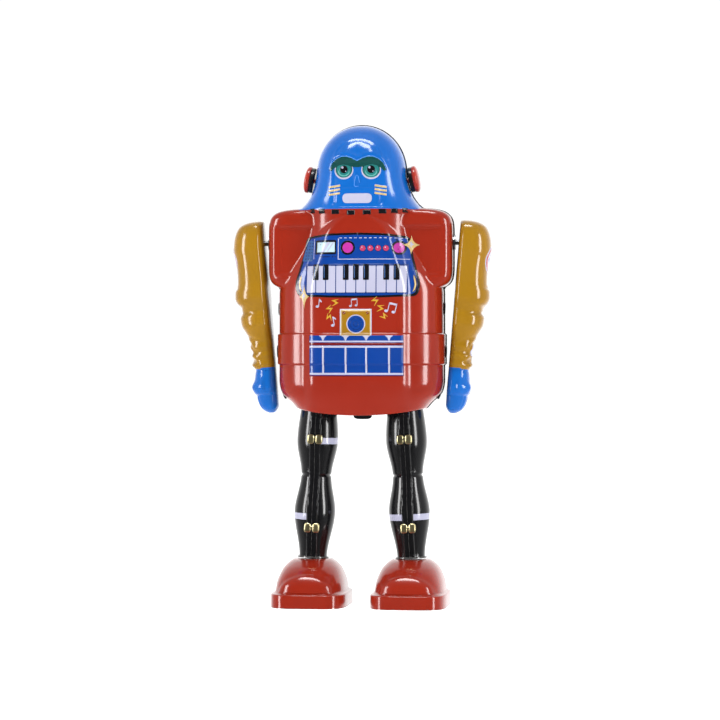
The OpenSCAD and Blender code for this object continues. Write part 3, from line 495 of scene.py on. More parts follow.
class Palette:
    """Every finish as a material, built once."""

    def __init__(self) -> None:
        """Build the shared effects and the materials."""
        self.fx = SharedEffects()
        self.made = {ink: ink.value.build(self.fx) for ink in Ink}

    def __getitem__(self, ink: Ink) -> bpy.types.Material:
        """Material of a finish."""
        return self.made[ink]


# mesh work


def mark_edges(mesh: bpy.types.Mesh, gain: float = 2.4) -> None:
    """Store how sharply each point stands out, as the attribute "edge".

    Args:
        mesh: the mesh to mark.
        gain: how fast the value grows as the faces round a point fall away.
    """
    count = len(mesh.vertices)
    co = np.empty(count * 3)
    mesh.vertices.foreach_get("co", co)
    co = co.reshape(-1, 3)
    normal = np.empty(count * 3)
    mesh.vertex_normals.foreach_get("vector", normal)
    normal = normal.reshape(-1, 3)
    ends = np.empty(len(mesh.edges) * 2, dtype=np.int32)
    mesh.edges.foreach_get("vertices", ends)
    ends = ends.reshape(-1, 2)
    step = co[ends[:, 1]] - co[ends[:, 0]]
    length = np.linalg.norm(step, axis=1) + 1e-9
    lean = np.zeros(count)
    links = np.zeros(count)
    for own, way in ((0, 1.0), (1, -1.0)):
        fall = -np.einsum("ij,ij->i", step * way, normal[ends[:, own]]) / length
        np.add.at(lean, ends[:, own], fall)
        np.add.at(links, ends[:, own], 1.0)
    value = np.clip(lean / np.maximum(links, 1) * gain, 0, 1)
    layer = mesh.attributes.new("edge", "FLOAT", "POINT")
    layer.data.foreach_set("value", value.astype(np.float32))


class Workshop:
    """Turns points and faces in millimetres into pieces that ride on a body."""

    def __init__(self, palette: Palette, axis_y: float) -> None:
        """Keep the palette and the place of the body axis."""
        self.palette = palette
        self.axis_y = axis_y

    def piece(self, name: str, points: Array, faces: Iterable[Sequence[int]], inks: Sequence[Ink], body: str,
              nodes: Sequence[str] = (), which: Sequence[int] | None = None,
              sharp: float = 38.0) -> bpy.types.Object:
        """Make a piece from points in millimetres about the body axis.

        Args:
            name: the piece's name.
            points: rows of x, y, z.
            faces: point numbers of each face, anticlockwise from outside.
            inks: finishes, in slot order.
            body: the body it rides on.
            nodes: CAD nodes that it stands for.
            which: each face's place in inks, or nothing for the first.
            sharp: angle in degrees above which an edge is shaded sharp.

        Returns:
            The new object.
        """
        mesh = bpy.data.meshes.new(name)
        placed = (np.asarray(points, dtype=float) + (0.0, self.axis_y, 0.0)) * MM
        mesh.from_pydata(placed.tolist(), [], [list(map(int, f)) for f in faces])
        mesh.update()
        return self.finish_mesh(name, mesh, inks, body, nodes, which, sharp)

    def finish_mesh(self, name: str, mesh: bpy.types.Mesh, inks: Sequence[Ink], body: str,
                    nodes: Sequence[str] = (), which: Sequence[int] | None = None,
                    sharp: float = 38.0) -> bpy.types.Object:
        """Shade a mesh, dress it and put it on its body.

        Args:
            name: the piece's name.
            mesh: a mesh in metres.
            inks: finishes, in slot order.
            body: the body it rides on.
            nodes: CAD nodes that it stands for.
            which: each face's place in inks.
            sharp: angle in degrees above which an edge is shaded sharp.

        Returns:
            The new object.
        """
        mesh.materials.clear()
        for ink in inks:
            mesh.materials.append(self.palette[ink])
        if which is not None:
            mesh.polygons.foreach_set("material_index", np.asarray(which, dtype=np.int32))
        mesh.shade_smooth()
        mesh.set_sharp_from_angle(angle=math.radians(sharp))
        mark_edges(mesh)
        obj = bpy.data.objects.new(name, mesh)
        show(obj)
        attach(obj, body)
        if nodes:
            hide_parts(*nodes)
        LOG.info("%s: %d faces on %s", name, len(mesh.polygons), body)
        return obj

    def dress(self, frame: dict, node: str, ink: Ink) -> None:
        """Give a CAD node a finish.

        Args:
            node: the node's name.
            ink: the finish.
        """
        obj = frame["nodes"][node]
        if not obj.material_slots:
            obj.data.materials.append(self.palette[ink])
        for held in obj.material_slots:
            held.material = self.palette[ink]


def grid_faces(rows: int, columns: int, start: int = 0, closed: bool = False, flip: bool = False) -> Faces:
    """Quads of a grid of points laid out row by row.

    Args:
        rows: number of rows.
        columns: number of points in a row.
        start: number of the first point.
        closed: join the last column to the first.
        flip: turn the faces round.

    Returns:
        The faces, which face the viewer when rows go up and columns go right.
    """
    last = columns if closed else columns - 1
    faces = []
    for i in range(rows - 1):
        for j in range(last):
            k = (j + 1) % columns
            face = [start + i * columns + j, start + i * columns + k,
                    start + (i + 1) * columns + k, start + (i + 1) * columns + j]
            faces.append(face[::-1] if flip else face)
    return faces


def half_case(outer: Array, inner: Array, close_base: bool, stride: int = 1) -> Solid:
    """Closed wall of a pressed half, from rings that run from seam to seam, from the bottom up.

    Args:
        outer: rings of outside points, as rows x columns x 3.
        inner: the same for the inside.
        close_base: True where the bottom is closed too.
        stride: how many rows and columns of the inside are joined into one.

    Returns:
        Points and faces.
    """
    m, n = outer.shape[:2]
    rows = sorted({*range(0, m, stride), m - 1})
    cols = sorted({*range(0, n, stride), n - 1})
    kept = inner[np.ix_(rows, cols)]
    w = len(cols)
    base = m * n

    def out(i: int, j: int) -> int:
        """Number of an outside point."""
        return i * n + j

    def into(i: int, j: int) -> int:
        """Number of an inside point."""
        return base + i * w + j

    faces = grid_faces(m, n) + grid_faces(len(rows), w, base, flip=True)
    for k in range(len(rows) - 1):
        span = list(range(rows[k], rows[k + 1] + 1))
        faces.append([out(i, 0) for i in span] + [into(k + 1, 0), into(k, 0)])
        faces.append([into(k, w - 1), into(k + 1, w - 1)] + [out(i, n - 1) for i in span[::-1]])
    top, last = m - 1, len(rows) - 1
    faces.append([out(top, j) for j in range(n)])
    faces.append([into(last, j) for j in range(w - 1, -1, -1)])
    faces.append([out(top, 0), out(top, n - 1), into(last, w - 1), into(last, 0)])
    if close_base:
        faces.append([out(0, j) for j in range(n - 1, -1, -1)])
        faces.append([into(0, j) for j in range(w)])
        faces.append([out(0, 0), into(0, 0), into(0, w - 1), out(0, n - 1)])
    else:
        for k in range(w - 1):
            span = list(range(cols[k], cols[k + 1] + 1))
            faces.append([into(0, k), into(0, k + 1)] + [out(0, j) for j in span[::-1]])
    return np.concatenate([outer.reshape(-1, 3), kept.reshape(-1, 3)]), faces


def mirrored(points: Array, faces: Faces, side: Side) -> Solid:
    """The left-hand form, or its mirror image for the right.

    Args:
        points: rows of x, y, z of the left-hand form.
        faces: its faces.
        side: the side wanted.

    Returns:
        Points and faces.
    """
    if side is Side.LEFT:
        return points, faces
    return points * (-1.0, 1.0, 1.0), [f[::-1] for f in faces]


# torso and head


@dataclass
class BodyForm:
    """Shape of the torso and head: the wall's distance from the upright axis at each height and direction.

    Heights named h are measured up from the bottom of the torso. Fields that end in _n are the powers of
    superellipses: 2 is an ellipse, and more is squarer.
    """

    bottom: float = 91.0
    height: float = 99.0
    tin: float = 0.6
    lip: float = 0.5
    rim: float = 0.45
    front: float = 22.0
    back: float = 20.0
    front_n: float = 2.7
    back_n: float = 5.0
    foot_half: float = 31.2
    waist: float = 39.7
    neck: float = 26.0
    corner_h: float = 17.0
    tuck: float = 5.0
    narrow_from: float = 41.0
    narrow_run: float = 32.0
    front_lean: float = 1.8
    back_lean: float = 1.2
    base_arch: float = 3.2
    base_half: float = 31.0
    belt: tuple[float, float] = (24.7, 38.5)
    belt_out: float = 0.8
    belt_slope: float = 0.8
    panel_low: float = 26.5
    panel_high: float = 18.5
    panel_out: float = 1.6
    panel_n: float = 5.6
    arch_from: float = 15.0
    arch_run: float = 12.0
    shoulder: float = 44.3
    shoulder_depth: float = 14.5
    shoulder_half: float = 19.7
    shoulder_n: float = 6.0
    shoulder_end_n: float = 7.0
    recess: float = 1.1
    recess_edge: float = 1.3
    head_height: float = 40.0
    head_half: float = 20.8
    head_front: float = 19.5
    head_back: float = 18.5
    head_n: float = 2.4
    dome: float = 21.0
    flare: float = 6.8
    flare_fall: float = 7.2
    flare_from: float = 1.8
    collar: float = 6.0

    def _corner(self, h: Array) -> Array:
        """How far the bottom has swollen out to the waist, from 0 to 1."""
        return np.sin(np.pi / 2 * np.clip(h / self.corner_h, 0, 1)) ** 0.9

    def _narrow(self, h: Array) -> Array:
        """How far the chest has narrowed to the neck, from 0 to 1."""
        return ease((h - self.height + self.narrow_from) / self.narrow_run)

    def _belt(self, h: Array) -> Array:
        """How far the belt stands out."""
        low, high = self.belt
        up = ease((h - low + self.belt_slope) / self.belt_slope)
        return self.belt_out * (up - ease((h - high) / self.belt_slope))

    def _depth(self, h: Array, front: bool) -> Array:
        """Depth of the trunk on one side of the seam."""
        full, lean = (self.front, self.front_lean) if front else (self.back, self.back_lean)
        return full - self.tuck * (1 - self._corner(h)) + self._belt(h) - lean * self._narrow(h)

    def _head(self, h: Array, c: Array, s: Array, front: bool) -> Array:
        """Distance of the head's wall.

        Args:
            h: heights.
            c: cosines of the directions.
            s: sines of the directions.
            front: True for the half that faces -Y.

        Returns:
            The distances.
        """
        up = h - self.height
        flare = self.flare * np.exp(-(up - self.flare_from) / self.flare_fall)
        flare = flare * ease((up + self.collar) / self.collar)
        over = np.maximum(up - self.head_height + self.dome, 0) / self.dome
        dome = np.sqrt(np.maximum(1 - over**2, 0))
        rise = ease((up + self.collar) / (self.collar / 2))
        full = self.head_front if front else self.head_back
        half = np.maximum((self.head_half + flare) * dome * rise, 0.01)
        depth = np.maximum((full + flare * 0.1) * dome * rise, 0.01)
        return oval(c, s, half, depth, self.head_n)

    def _panel(self, h: Array, c: Array, s: Array, depth: Array) -> Array:
        """Distance of the flat panel raised on the chest, which ends in an arch under the chin.

        Args:
            h: heights.
            c: cosines of the directions.
            s: sines of the directions.
            depth: depth of the trunk at each height.

        Returns:
            The distances.
        """
        over = np.maximum(h - self.height + self.arch_from, 0) / self.arch_run
        arch = np.sqrt(np.maximum(1 - over**2, 1e-4))
        half = mix(self.panel_low, self.panel_high, self._narrow(h)) * arch
        stand = (self.panel_out * ease(h / self.corner_h) + 1) * arch - 1
        return oval(c, s, half, depth + stand, self.panel_n)

    def _shoulders(self, h: Array, c: Array, s: Array, front: bool) -> Array:
        """Distance of the square shoulder boxes, with a shallow recess on their front faces.

        Args:
            h: heights.
            c: cosines of the directions.
            s: sines of the directions.
            front: True for the half that faces -Y.

        Returns:
            The distances.
        """
        mid = self.height - self.shoulder_half
        off = np.abs(h - mid) / (self.shoulder_half + 0.01)
        end = np.maximum(1 - off**self.shoulder_end_n, 1e-6) ** (1 / self.shoulder_end_n)
        depth = self.shoulder_depth * end
        box = oval(c, s, self.shoulder * end, depth, self.shoulder_n)
        if not front:
            return box
        sunk = ease((self.height - 8.4 - h) / self.recess_edge) * ease((h - self.height + 33) / 2.5)
        sunk = sunk * ease((self.shoulder - 3.6 - np.abs(box * c)) / self.recess_edge)
        return oval(c, s, self.shoulder * end, depth - self.recess * sunk, self.shoulder_n)

    def wall(self, h: Array, a: Array, front: bool) -> Array:
        """Distance of the outer wall from the axis.

        Args:
            h: heights above the bottom.
            a: directions in radians from +X.
            front: True for the half that faces -Y.

        Returns:
            The distances.
        """
        c, s = np.cos(a), np.sin(a)
        half = mix(self.foot_half, self.waist, self._corner(h)) + self._belt(h)
        half = half - (self.waist - self.neck) * self._narrow(h)
        depth = self._depth(h, front)
        trunk = oval(c, s, half, depth, self.front_n if front else self.back_n)
        if front:
            trunk = blend_max(trunk, self._panel(h, c, s, depth), 1.5)
        top = self.height - 0.001
        boxed = np.where(h < top, blend_max(trunk, self._shoulders(h, c, s, front), 2.0), 0.0)
        capped = self._head(h, c, s, front)
        near = blend_max(boxed, capped, 1.0)
        return np.where(h < self.height - self.collar, boxed, np.where(h < top, near, capped))

    @staticmethod
    def _forehead(x: Array, z: Array) -> Array:
        """Oval swelling of the forehead with a fine ring round it, and a bump between the brows."""
        crown = np.sqrt((x / 11.4) ** 2 + ((z - 213.6) / 9.4) ** 2)
        out = 0.28 * ease((1.0 - crown) / 0.30) * ease((z - 207) / 5)
        out = out + 0.22 * hump(crown, 0.97, 0.07) * ease((z - 211) / 5)
        return out + 0.5 * hump(np.abs(x), 4.4, 3.0) * hump(z, 217.0, 2.6)

    def relief(self, x: Array, z: Array) -> Array:
        """How far the pressed face stands out past the plain head, by place on it.

        Args:
            x: places across, in millimetres.
            z: heights above the floor, in millimetres.

        Returns:
            The heights of the relief.
        """
        ax = np.abs(x)
        brow_z = np.interp(ax, [0, 2.6, 7.2, 11.4, 14.5], [212.9, 214.0, 215.2, 213.4, 209.0])
        brow = 0.62 * hump(z, brow_z, 1.7) * ease((15.4 - ax) / 3.5)
        low = ease((z - 190.0) / 2.4)
        plane = 0.75 * ease((12.9 - ax - 0.05 * (z - 200)) / 1.8) * ease((213.0 - z) / 2.6) * low
        from_eye = np.sqrt(((ax - 6.6) / 5.4) ** 2 + ((z - 207.4) / 4.6) ** 2)
        socket = 0.4 * ease((1.2 - from_eye) / 0.7)
        nose = 0.75 * hump(x, 0, 1.7) * hump(z, 203.2, 2.9)
        jaw = 0.45 * ease((199.6 - z) / 1.2) * ease((11.6 - ax) / 2.0) * low
        return self._forehead(x, z) + brow - plane - socket + nose + jaw

    def shape(self, h: Array, a: Array, front: bool, inset: float) -> Array:
        """Points of the wall.

        Args:
            h: heights, one for each ring.
            a: directions, one for each point of a ring.
            front: True for the front half.
            inset: 0 outside, or the tin's thickness inside.

        Returns:
            Points as rings x directions x 3.
        """
        hh, aa = np.meshgrid(h, a, indexing="ij")
        r = self.wall(hh, aa, front)
        r = np.where(hh < 0.3, r - self.lip, r) - inset
        x, y = r * np.cos(aa), r * np.sin(aa)
        z = self.bottom + hh - inset * ease((hh - self.height + 22) / 12) + inset * ease(1 - hh / 2)
        if front:
            y = y - self.relief(x, z) * ease(-y / 6)
        z = z + self.base_arch * (np.abs(x) / self.base_half) ** 2 * ease(1 - hh / 12)
        if not front:
            rim = self.rim * ease((1.5 - np.abs(y)) / 0.35)
            up = np.maximum(z - self.bottom - self.height - self.head_height + self.dome, 0)
            flat = ease((z - self.bottom - self.height + 4) / 2) * ease((np.abs(x) - self.neck - 1) / 1.5)
            long = np.hypot(x, up) + 1e-6
            z = z + rim * np.maximum(up / long, flat)
            x = x + rim * np.where(up > 0, x / long, np.sign(x)) * (1 - 0.7 * flat)
        return np.stack([x, y, z], axis=-1)

    def front_y(self, x: Array, z: Array, halvings: int = 32) -> Array:
        """Depth of the pressed front at a place on it.

        Args:
            x: places across.
            z: heights above the floor.
            halvings: how often the span of directions is halved to find the one that meets x.

        Returns:
            The places along Y.
        """
        low = np.full_like(x, math.pi + 1e-6)
        high = np.full_like(x, 2 * math.pi - 1e-6)
        h = z - self.bottom
        for _ in range(halvings):
            half = (low + high) / 2
            left = self.wall(h, half, True) * np.cos(half) < x
            low, high = np.where(left, half, low), np.where(left, high, half)
        y = self.wall(h, low, True) * np.sin(low)
        return y - self.relief(x, z) * ease(-y / 6)

    def on_front(self, x: Array, z: Array, height: float) -> Array:
        """Points at a height above the pressed front."""
        return np.column_stack([x, self.front_y(x, z) - height, z])


@dataclass
class BodyShells:
    """The two pressed halves that make the torso and the head."""

    form: BodyForm
    front_step: float = 0.62
    back_step: float = 1.2
    front_columns: int = 241
    back_columns: int = 121
    least_step: float = 0.12
    collar_drop: float = 0.9
    collar_reach: float = 31.0

    def levels(self, step: float) -> Array:
        """Heights of the rings, close together at the belt, the shoulders and the crown.

        Args:
            step: distance between rings on the plain stretches.

        Returns:
            The heights, rising.
        """
        f = self.form
        crown = f.height + f.head_height - f.dome
        low = np.concatenate([[0, 0.3, 0.6, 1.2, 2.0], np.arange(2.6, f.height - 2.0, step)])
        belt = [np.arange(edge - 1.0, edge + 1.0, 0.2) for edge in f.belt]
        fine = np.concatenate([*belt, np.arange(f.height - 2, f.height + 2.2, 0.2)])
        high = np.arange(f.height + 2.2, crown, step * 0.62)
        cap = crown + f.dome * np.sin(np.radians(np.linspace(0, 88.5, int(44 / step))))
        values = np.unique(np.round(np.concatenate([low, fine, high, cap]), 3))
        keep = [values[0]]
        for value in values[1:]:
            if value - keep[-1] > self.least_step:
                keep.append(value)
        return np.array(keep)

    def _half(self, front: bool) -> Solid:
        """Closed wall of one half, on the side that faces -Y.

        Args:
            front: True for the front half.

        Returns:
            Points and faces.
        """
        f = self.form
        step, columns, stride = (self.front_step, self.front_columns, 3) if front else (
            self.back_step, self.back_columns, 2)
        h = self.levels(step)
        a = np.radians(np.linspace(180, 360, columns))
        return half_case(f.shape(h, a, front, 0.0), f.shape(h, a, front, f.tin), False, stride)

    def build(self, shop: Workshop) -> None:
        """Make both halves.

        Args:
            shop: where pieces are made.
        """
        points, faces = self._half(True)
        centre = np.array([points[face[:4]].mean(axis=0) for face in faces])
        radius = np.hypot(centre[:, 0], centre[:, 1])
        neck_z = self.form.bottom + self.form.height - self.collar_drop
        blue = (centre[:, 2] > neck_z) & (radius < self.collar_reach)
        shop.piece("front_shell_tin", points, faces, [Ink.RED, Ink.BLUE], "body", ["front_shell"],
                   blue.astype(int))
        points, faces = self._half(False)
        points = points * (1.0, -1.0, 1.0)
        faces = [face[::-1] for face in faces]
        shop.piece("back_shell_tin", points, faces, [Ink.BLACK], "body", ["back_shell"])


# prints


def turned(poly: Sequence[Point], angle: float, place: Point = (0.0, 0.0), size: float = 1.0) -> list[Point]:
    """Outline turned, scaled and moved.

    Args:
        poly: the outline.
        angle: turn in degrees, anticlockwise.
        place: where its origin goes.
        size: its scale.

    Returns:
        The new outline.
    """
    c, s = math.cos(math.radians(angle)) * size, math.sin(math.radians(angle)) * size
    return [(place[0] + x * c - y * s, place[1] + x * s + y * c) for x, y in poly]


def disc(x: float, y: float, r: float, ry: float | None = None, count: int = 40) -> list[Point]:
    """Circle or ellipse as an outline.

    Args:
        x: middle across.
        y: middle upwards.
        r: half width.
        ry: half height, or nothing for a circle.
        count: number of points.

    Returns:
        The outline.
    """
    ry = r if ry is None else ry
    turns = [2 * math.pi * i / count for i in range(count)]
    return [(x + r * math.cos(t), y + ry * math.sin(t)) for t in turns]


def rect(x0: float, y0: float, x1: float, y1: float) -> list[Point]:
    """Rectangle as an outline."""
    return [(x0, y0), (x1, y0), (x1, y1), (x0, y1)]


def rounded(poly: Sequence[Point], radius: float, count: int = 6) -> list[Point]:
    """Outline with its corners rounded.

    Args:
        poly: the outline.
        radius: distance from a corner at which its curve starts, held to under half of each side.
        count: points on each corner.

    Returns:
        The new outline.
    """
    out = []
    n = len(poly)
    for i in range(n):
        p, a, b = (np.array(poly[k % n], dtype=float) for k in (i, i - 1, i + 1))
        ra = min(radius, np.linalg.norm(a - p) * 0.48)
        rb = min(radius, np.linalg.norm(b - p) * 0.48)
        s, e = p + (a - p) / np.linalg.norm(a - p) * ra, p + (b - p) / np.linalg.norm(b - p) * rb
        for t in np.linspace(0, 1, count):
            q = (1 - t) ** 2 * s + 2 * t * (1 - t) * p + t * t * e
            out.append((float(q[0]), float(q[1])))
    return out


def stroke(path: Sequence[Point], width: float, ends: tuple[float, float] = (1.0, 1.0)) -> list[Point]:
    """Outline of a line drawn along a path, tapered at its ends.

    Args:
        path: points of the line.
        width: its full width.
        ends: share of the width left at the start and at the end.

    Returns:
        The outline.
    """
    pts = np.array(path, dtype=float)
    step = np.diff(pts, axis=0)
    step /= np.linalg.norm(step, axis=1)[:, None]
    left = []
    right = []
    for i, p in enumerate(pts):
        d = step[max(i - 1, 0)] + step[min(i, len(step) - 1)]
        d /= max(np.linalg.norm(d), 1e-6)
        k = 1 / max(abs(float(np.dot(d, step[min(i, len(step) - 1)]))), 0.45)
        t = i / (len(pts) - 1)
        start = mix(ends[0], 1, min(1, t * 4))
        end = mix(ends[1], 1, min(1, (1 - t) * 4))
        w = width / 2 * k * start * end
        normal = np.array([-d[1], d[0]]) * max(w, 0.02)
        left.append(tuple(p + normal))
        right.append(tuple(p - normal))
    return left + right[::-1]


def spark(x: float, y: float, rx: float, ry: float, waist: float = 0.16) -> list[Point]:
    """Four-pointed sparkle with hollow sides.

    Args:
        x: middle across.
        y: middle upwards.
        rx: reach of the points across.
        ry: reach of the points upwards.
        waist: how far out the hollow sides are pulled, as a share of the reach.

    Returns:
        The outline.
    """
    out = []
    for i in range(4):
        start, middle, end = (np.array([math.cos(t),
                                        math.sin(t)]) for t in np.pi / 2 * (i + np.array([0, 0.5, 1])))
        for t in np.linspace(0, 1, 7)[:-1]:
            p = (1 - t) ** 2 * start + 2 * t * (1 - t) * waist * middle + t * t * end
            out.append((x + rx * float(p[0]), y + ry * float(p[1])))
    return out


@dataclass
class PrintSheet:
    """Printed shapes that lie on a pressing, each ink a thin skin of its own."""

    cell: float = 0.8
    film: float = 0.012
    lift: float = 0.045
    sink: float = 0.03
    steps: tuple[float, ...] = (114.9, 115.1, 115.3, 115.5, 115.7, 129.5, 129.7, 129.9, 130.1, 130.3)
    shapes: list[tuple[Ink, int, list[Point]]] = field(default_factory=list)

    def lay(self, ink: Ink, layer: int, *outlines: Sequence[Point]) -> None:
        """Add outlines in one ink.

        Args:
            ink: the ink.
            layer: 1 on the tin, higher on top of others.
            outlines: rows of (x, z) points.
        """
        for outline in outlines:
            self.shapes.append((ink, layer, list(outline)))

    def _cut(self, outline: Sequence[Point]) -> Solid:
        """Fill an outline with small faces.

        Args:
            outline: (x, z) points.

        Returns:
            Flat points and faces, anticlockwise.
        """
        after = list(outline[1:]) + [outline[0]]
        area = sum(a[0] * b[1] - b[0] * a[1] for a, b in zip(outline, after))
        ring = list(outline) if area > 0 else list(outline)[::-1]
        bm = bmesh.new()
        bm.faces.new([bm.verts.new((x, z, 0)) for x, z in ring])
        bm.normal_update()
        bmesh.ops.triangulate(bm, faces=bm.faces[:], ngon_method="EAR_CLIP")
        spans = np.array(ring)
        for axis in (0, 1):
            low, high = spans[:, axis].min(), spans[:, axis].max()
            cuts = [k * self.cell for k in range(math.ceil(low / self.cell),
                                                 math.floor(high / self.cell) + 1)]
            if axis == 1:
                cuts += [z for z in self.steps if low < z < high]
            for cut in cuts:
                at = [0.0, 0.0, 0.0]
                at[axis] = cut
                way = [0.0, 0.0, 0.0]
                way[axis] = 1.0
                everything = bm.verts[:] + bm.edges[:] + bm.faces[:]
                bmesh.ops.bisect_plane(bm, geom=everything, plane_co=at, plane_no=way)
        bmesh.ops.remove_doubles(bm, verts=bm.verts[:], dist=1e-5)
        bm.verts.index_update()
        flat = np.array([v.co[:2] for v in bm.verts])
        faces = [[v.index for v in f.verts] for f in bm.faces if f.calc_area() > 1e-8]
        bm.free()
        return flat, faces

    def build(self, shop: Workshop, prefix: str, put: Callable[[Array, Array, float], Array],
              body: str = "body",
              slot: str = "red_tin", side: Side = Side.LEFT) -> None:
        """Make one piece for each ink.

        Args:
            shop: where pieces are made.
            prefix: start of the pieces' names.
            put: gives points from both flat coordinates and a height above the tin.
            body: the body the print rides on.
            slot: the record's material slot; not used.
            side: RIGHT mirrors the print.
        """
        for ink in dict.fromkeys(own for own, _, _ in self.shapes):
            points, faces = [], []
            count = 0
            for own, layer, outline in self.shapes:
                if own is not ink:
                    continue
                flat, cells = self._cut(outline)
                top = put(flat[:, 0], flat[:, 1], self.lift + self.film * layer)
                base = put(flat[:, 0], flat[:, 1], -self.sink)
                n = len(flat)
                edges = dict.fromkeys(pair for cell in cells for pair in zip(cell, cell[1:] + cell[:1]))
                rim = [(p, q) for (p, q) in edges if (q, p) not in edges]
                faces += [[count + p for p in cell] for cell in cells]
                faces += [[count + n + p for p in cell[::-1]] for cell in cells]
                faces += [[count + q, count + p, count + n + p, count + n + q] for p, q in rim]
                points += [top, base]
                count += 2 * n
            done, faces = mirrored(np.concatenate(points), faces, side)
            shop.piece(f"{prefix}_{ink.value.name}", done, faces, [ink], body, sharp=180.0)


@dataclass
class ChestPrint:
    """The keyboard, the speaker, the notes and the belt panel printed on the chest."""

    keys: int = 10
    key_span: tuple[float, float] = (-24.1, 23.9)
    key_rows: tuple[float, float] = (149.3, 161.9)
    key_gap: float = 0.22
    sharps: tuple[int, ...] = (1, 2, 4, 5, 6, 8, 9)
    sharp_half: float = 1.4
    sharp_rows: tuple[float, float] = (155.2, 162.7)
    knobs: tuple[float, float] = (-4.1, 19.9)
    knob_z: float = 170.5
    buttons: int = 4
    button_start: float = 3.0
    button_pitch: float = 3.67
    button_z: float = 170.2
    dashes: int = 14
    dash_start: float = -8.2
    dash_pitch: float = 2.36
    dash: float = 1.3
    cone: tuple[float, float] = (-0.1, 134.4)
    panel_half: float = 22.3
    panel_bars: tuple[float, ...] = (-15.7, -4.9, 4.9, 15.7)

    @staticmethod
    def _case(sheet: PrintSheet) -> None:
        """Case with its grille and screen."""
        right = [(0, 177.6), (14, 177.2), (24.9, 175.9), (25.6, 170), (27.1, 163.8), (28.6, 158.5),
                 (30.1, 153.4),
                 (28.6, 147.6), (12, 146.9)]
        case = rounded([*right, (0, 146.8)] + [(-x, z) for x, z in right[:0:-1]], 2.6)
        sheet.lay(Ink.COIL, 1, case)
        middle_z = 162.2
        sheet.lay(Ink.PANEL, 2, [(x * 0.962, middle_z + (z - middle_z) * 0.935) for x, z in case])
        grille = [(-26.6, 164.2), (-21.3, 164.2), (-21.3, 174.2), (-24.2, 174.2), (-25.3, 170)]
        sheet.lay(Ink.SLATE, 3, rounded(grille, 0.8))
        for row in range(6):
            for column in range(3):
                x = -24.9 + column * 1.35 + row * 0.12
                sheet.lay(Ink.NAVY, 4, disc(x, 165.4 + row * 1.5, 0.28, count=10))
        sheet.lay(Ink.COIL, 3, rounded(rect(-20.1, 167.4, -9.6, 174.2), 0.5))
        sheet.lay(Ink.GLASS, 4, rect(-19.2, 168.4, -10.3, 173.2))
        sheet.lay(Ink.WHITE, 5, [(-17.2, 168.4), (-15.4, 168.4), (-12.2, 173.2), (-14.0, 173.2)],
                  [(-14.5, 168.4), (-13.7, 168.4), (-10.5, 173.2), (-11.3, 173.2)])
        slot = rounded(rect(-17.0, 166.0, -12.6, 166.5), 0.2)
        sheet.lay(Ink.NAVY, 3, slot, disc(-11.3, 166.3, 0.4), disc(-10.0, 166.3, 0.4))

    def _controls(self, sheet: PrintSheet) -> None:
        """White lines, knobs and buttons."""
        sheet.lay(Ink.WHITE, 3, rect(-20.9, 165.2, -20.6, 174.9), rect(-8.8, 165.0, -8.45, 174.9),
                  rect(-8.8, 164.9, 25.0, 165.25))
        for i in range(self.dashes):
            x = self.dash_start + i * self.dash_pitch
            sheet.lay(Ink.WHITE, 3, rect(x, 174.95, x + self.dash, 175.3))
        for x in self.knobs:
            sheet.lay(Ink.COIL, 3, disc(x, self.knob_z, 3.45))
            sheet.lay(Ink.MAGENTA, 4, disc(x, self.knob_z, 2.5))
        for i in range(self.buttons):
            x = self.button_start + self.button_pitch * i
            sheet.lay(Ink.NAVY, 3, disc(x, self.button_z, 1.6))
            sheet.lay(Ink.ROSE, 4, disc(x, self.button_z, 1.3))
            sheet.lay(Ink.WHITE, 5, disc(x - 0.35, self.button_z + 0.45, 0.3, count=16))

    def _keyboard(self, sheet: PrintSheet) -> None:
        """White and black keys, with a gold line round each side of the case."""
        (left, right), (low, high) = self.key_span, self.key_rows
        sheet.lay(Ink.DEEP, 3, rect(left - 0.5, low - 0.5, right + 0.5, high + 0.9))
        pitch = (right - left) / self.keys
        for i in range(self.keys):
            x = left + i * pitch
            sheet.lay(Ink.WHITE, 4,
                      rounded(rect(x + self.key_gap, low, x + pitch - self.key_gap, high), 0.35, 3))
        low, high = self.sharp_rows
        for i in self.sharps:
            x = left + i * pitch
            sheet.lay(Ink.COIL, 5, rounded(rect(x - self.sharp_half, low, x + self.sharp_half, high), 0.3, 3))
            sheet.lay(Ink.SLATE, 6, rounded(rect(x - 0.95, low + 0.9, x - 0.55, high - 0.8), 0.15, 2))
        for way in (-1, 1):
            path = [(25.9, 149.2), (27.3, 150.4), (28.0, 153.2), (27.3, 156.6), (26.4, 159.8)]
            corner = 6
            curve = rounded([(way * x, z) for x, z in path], 1.0, corner)[corner:-corner]
            sheet.lay(Ink.NAVY, 3, stroke(curve, 1.7, (0.3, 0.3)))
            sheet.lay(Ink.GOLD, 4, stroke([(x - way * 0.25, z) for x, z in curve], 0.7, (0.2, 0.2)))

    @staticmethod
    def _sparks(sheet: PrintSheet) -> None:
        """Two gold sparkles."""
        for x, z, rx, ry in ((25.3, 172.0, 4.1, 4.6), (-25.3, 147.4, 2.6, 6.0)):
            sheet.lay(Ink.GOLD, 6, spark(x, z, rx, ry))
            sheet.lay(Ink.WHITE, 7, spark(x - 0.2, z + 0.3, rx * 0.42, ry * 0.42))

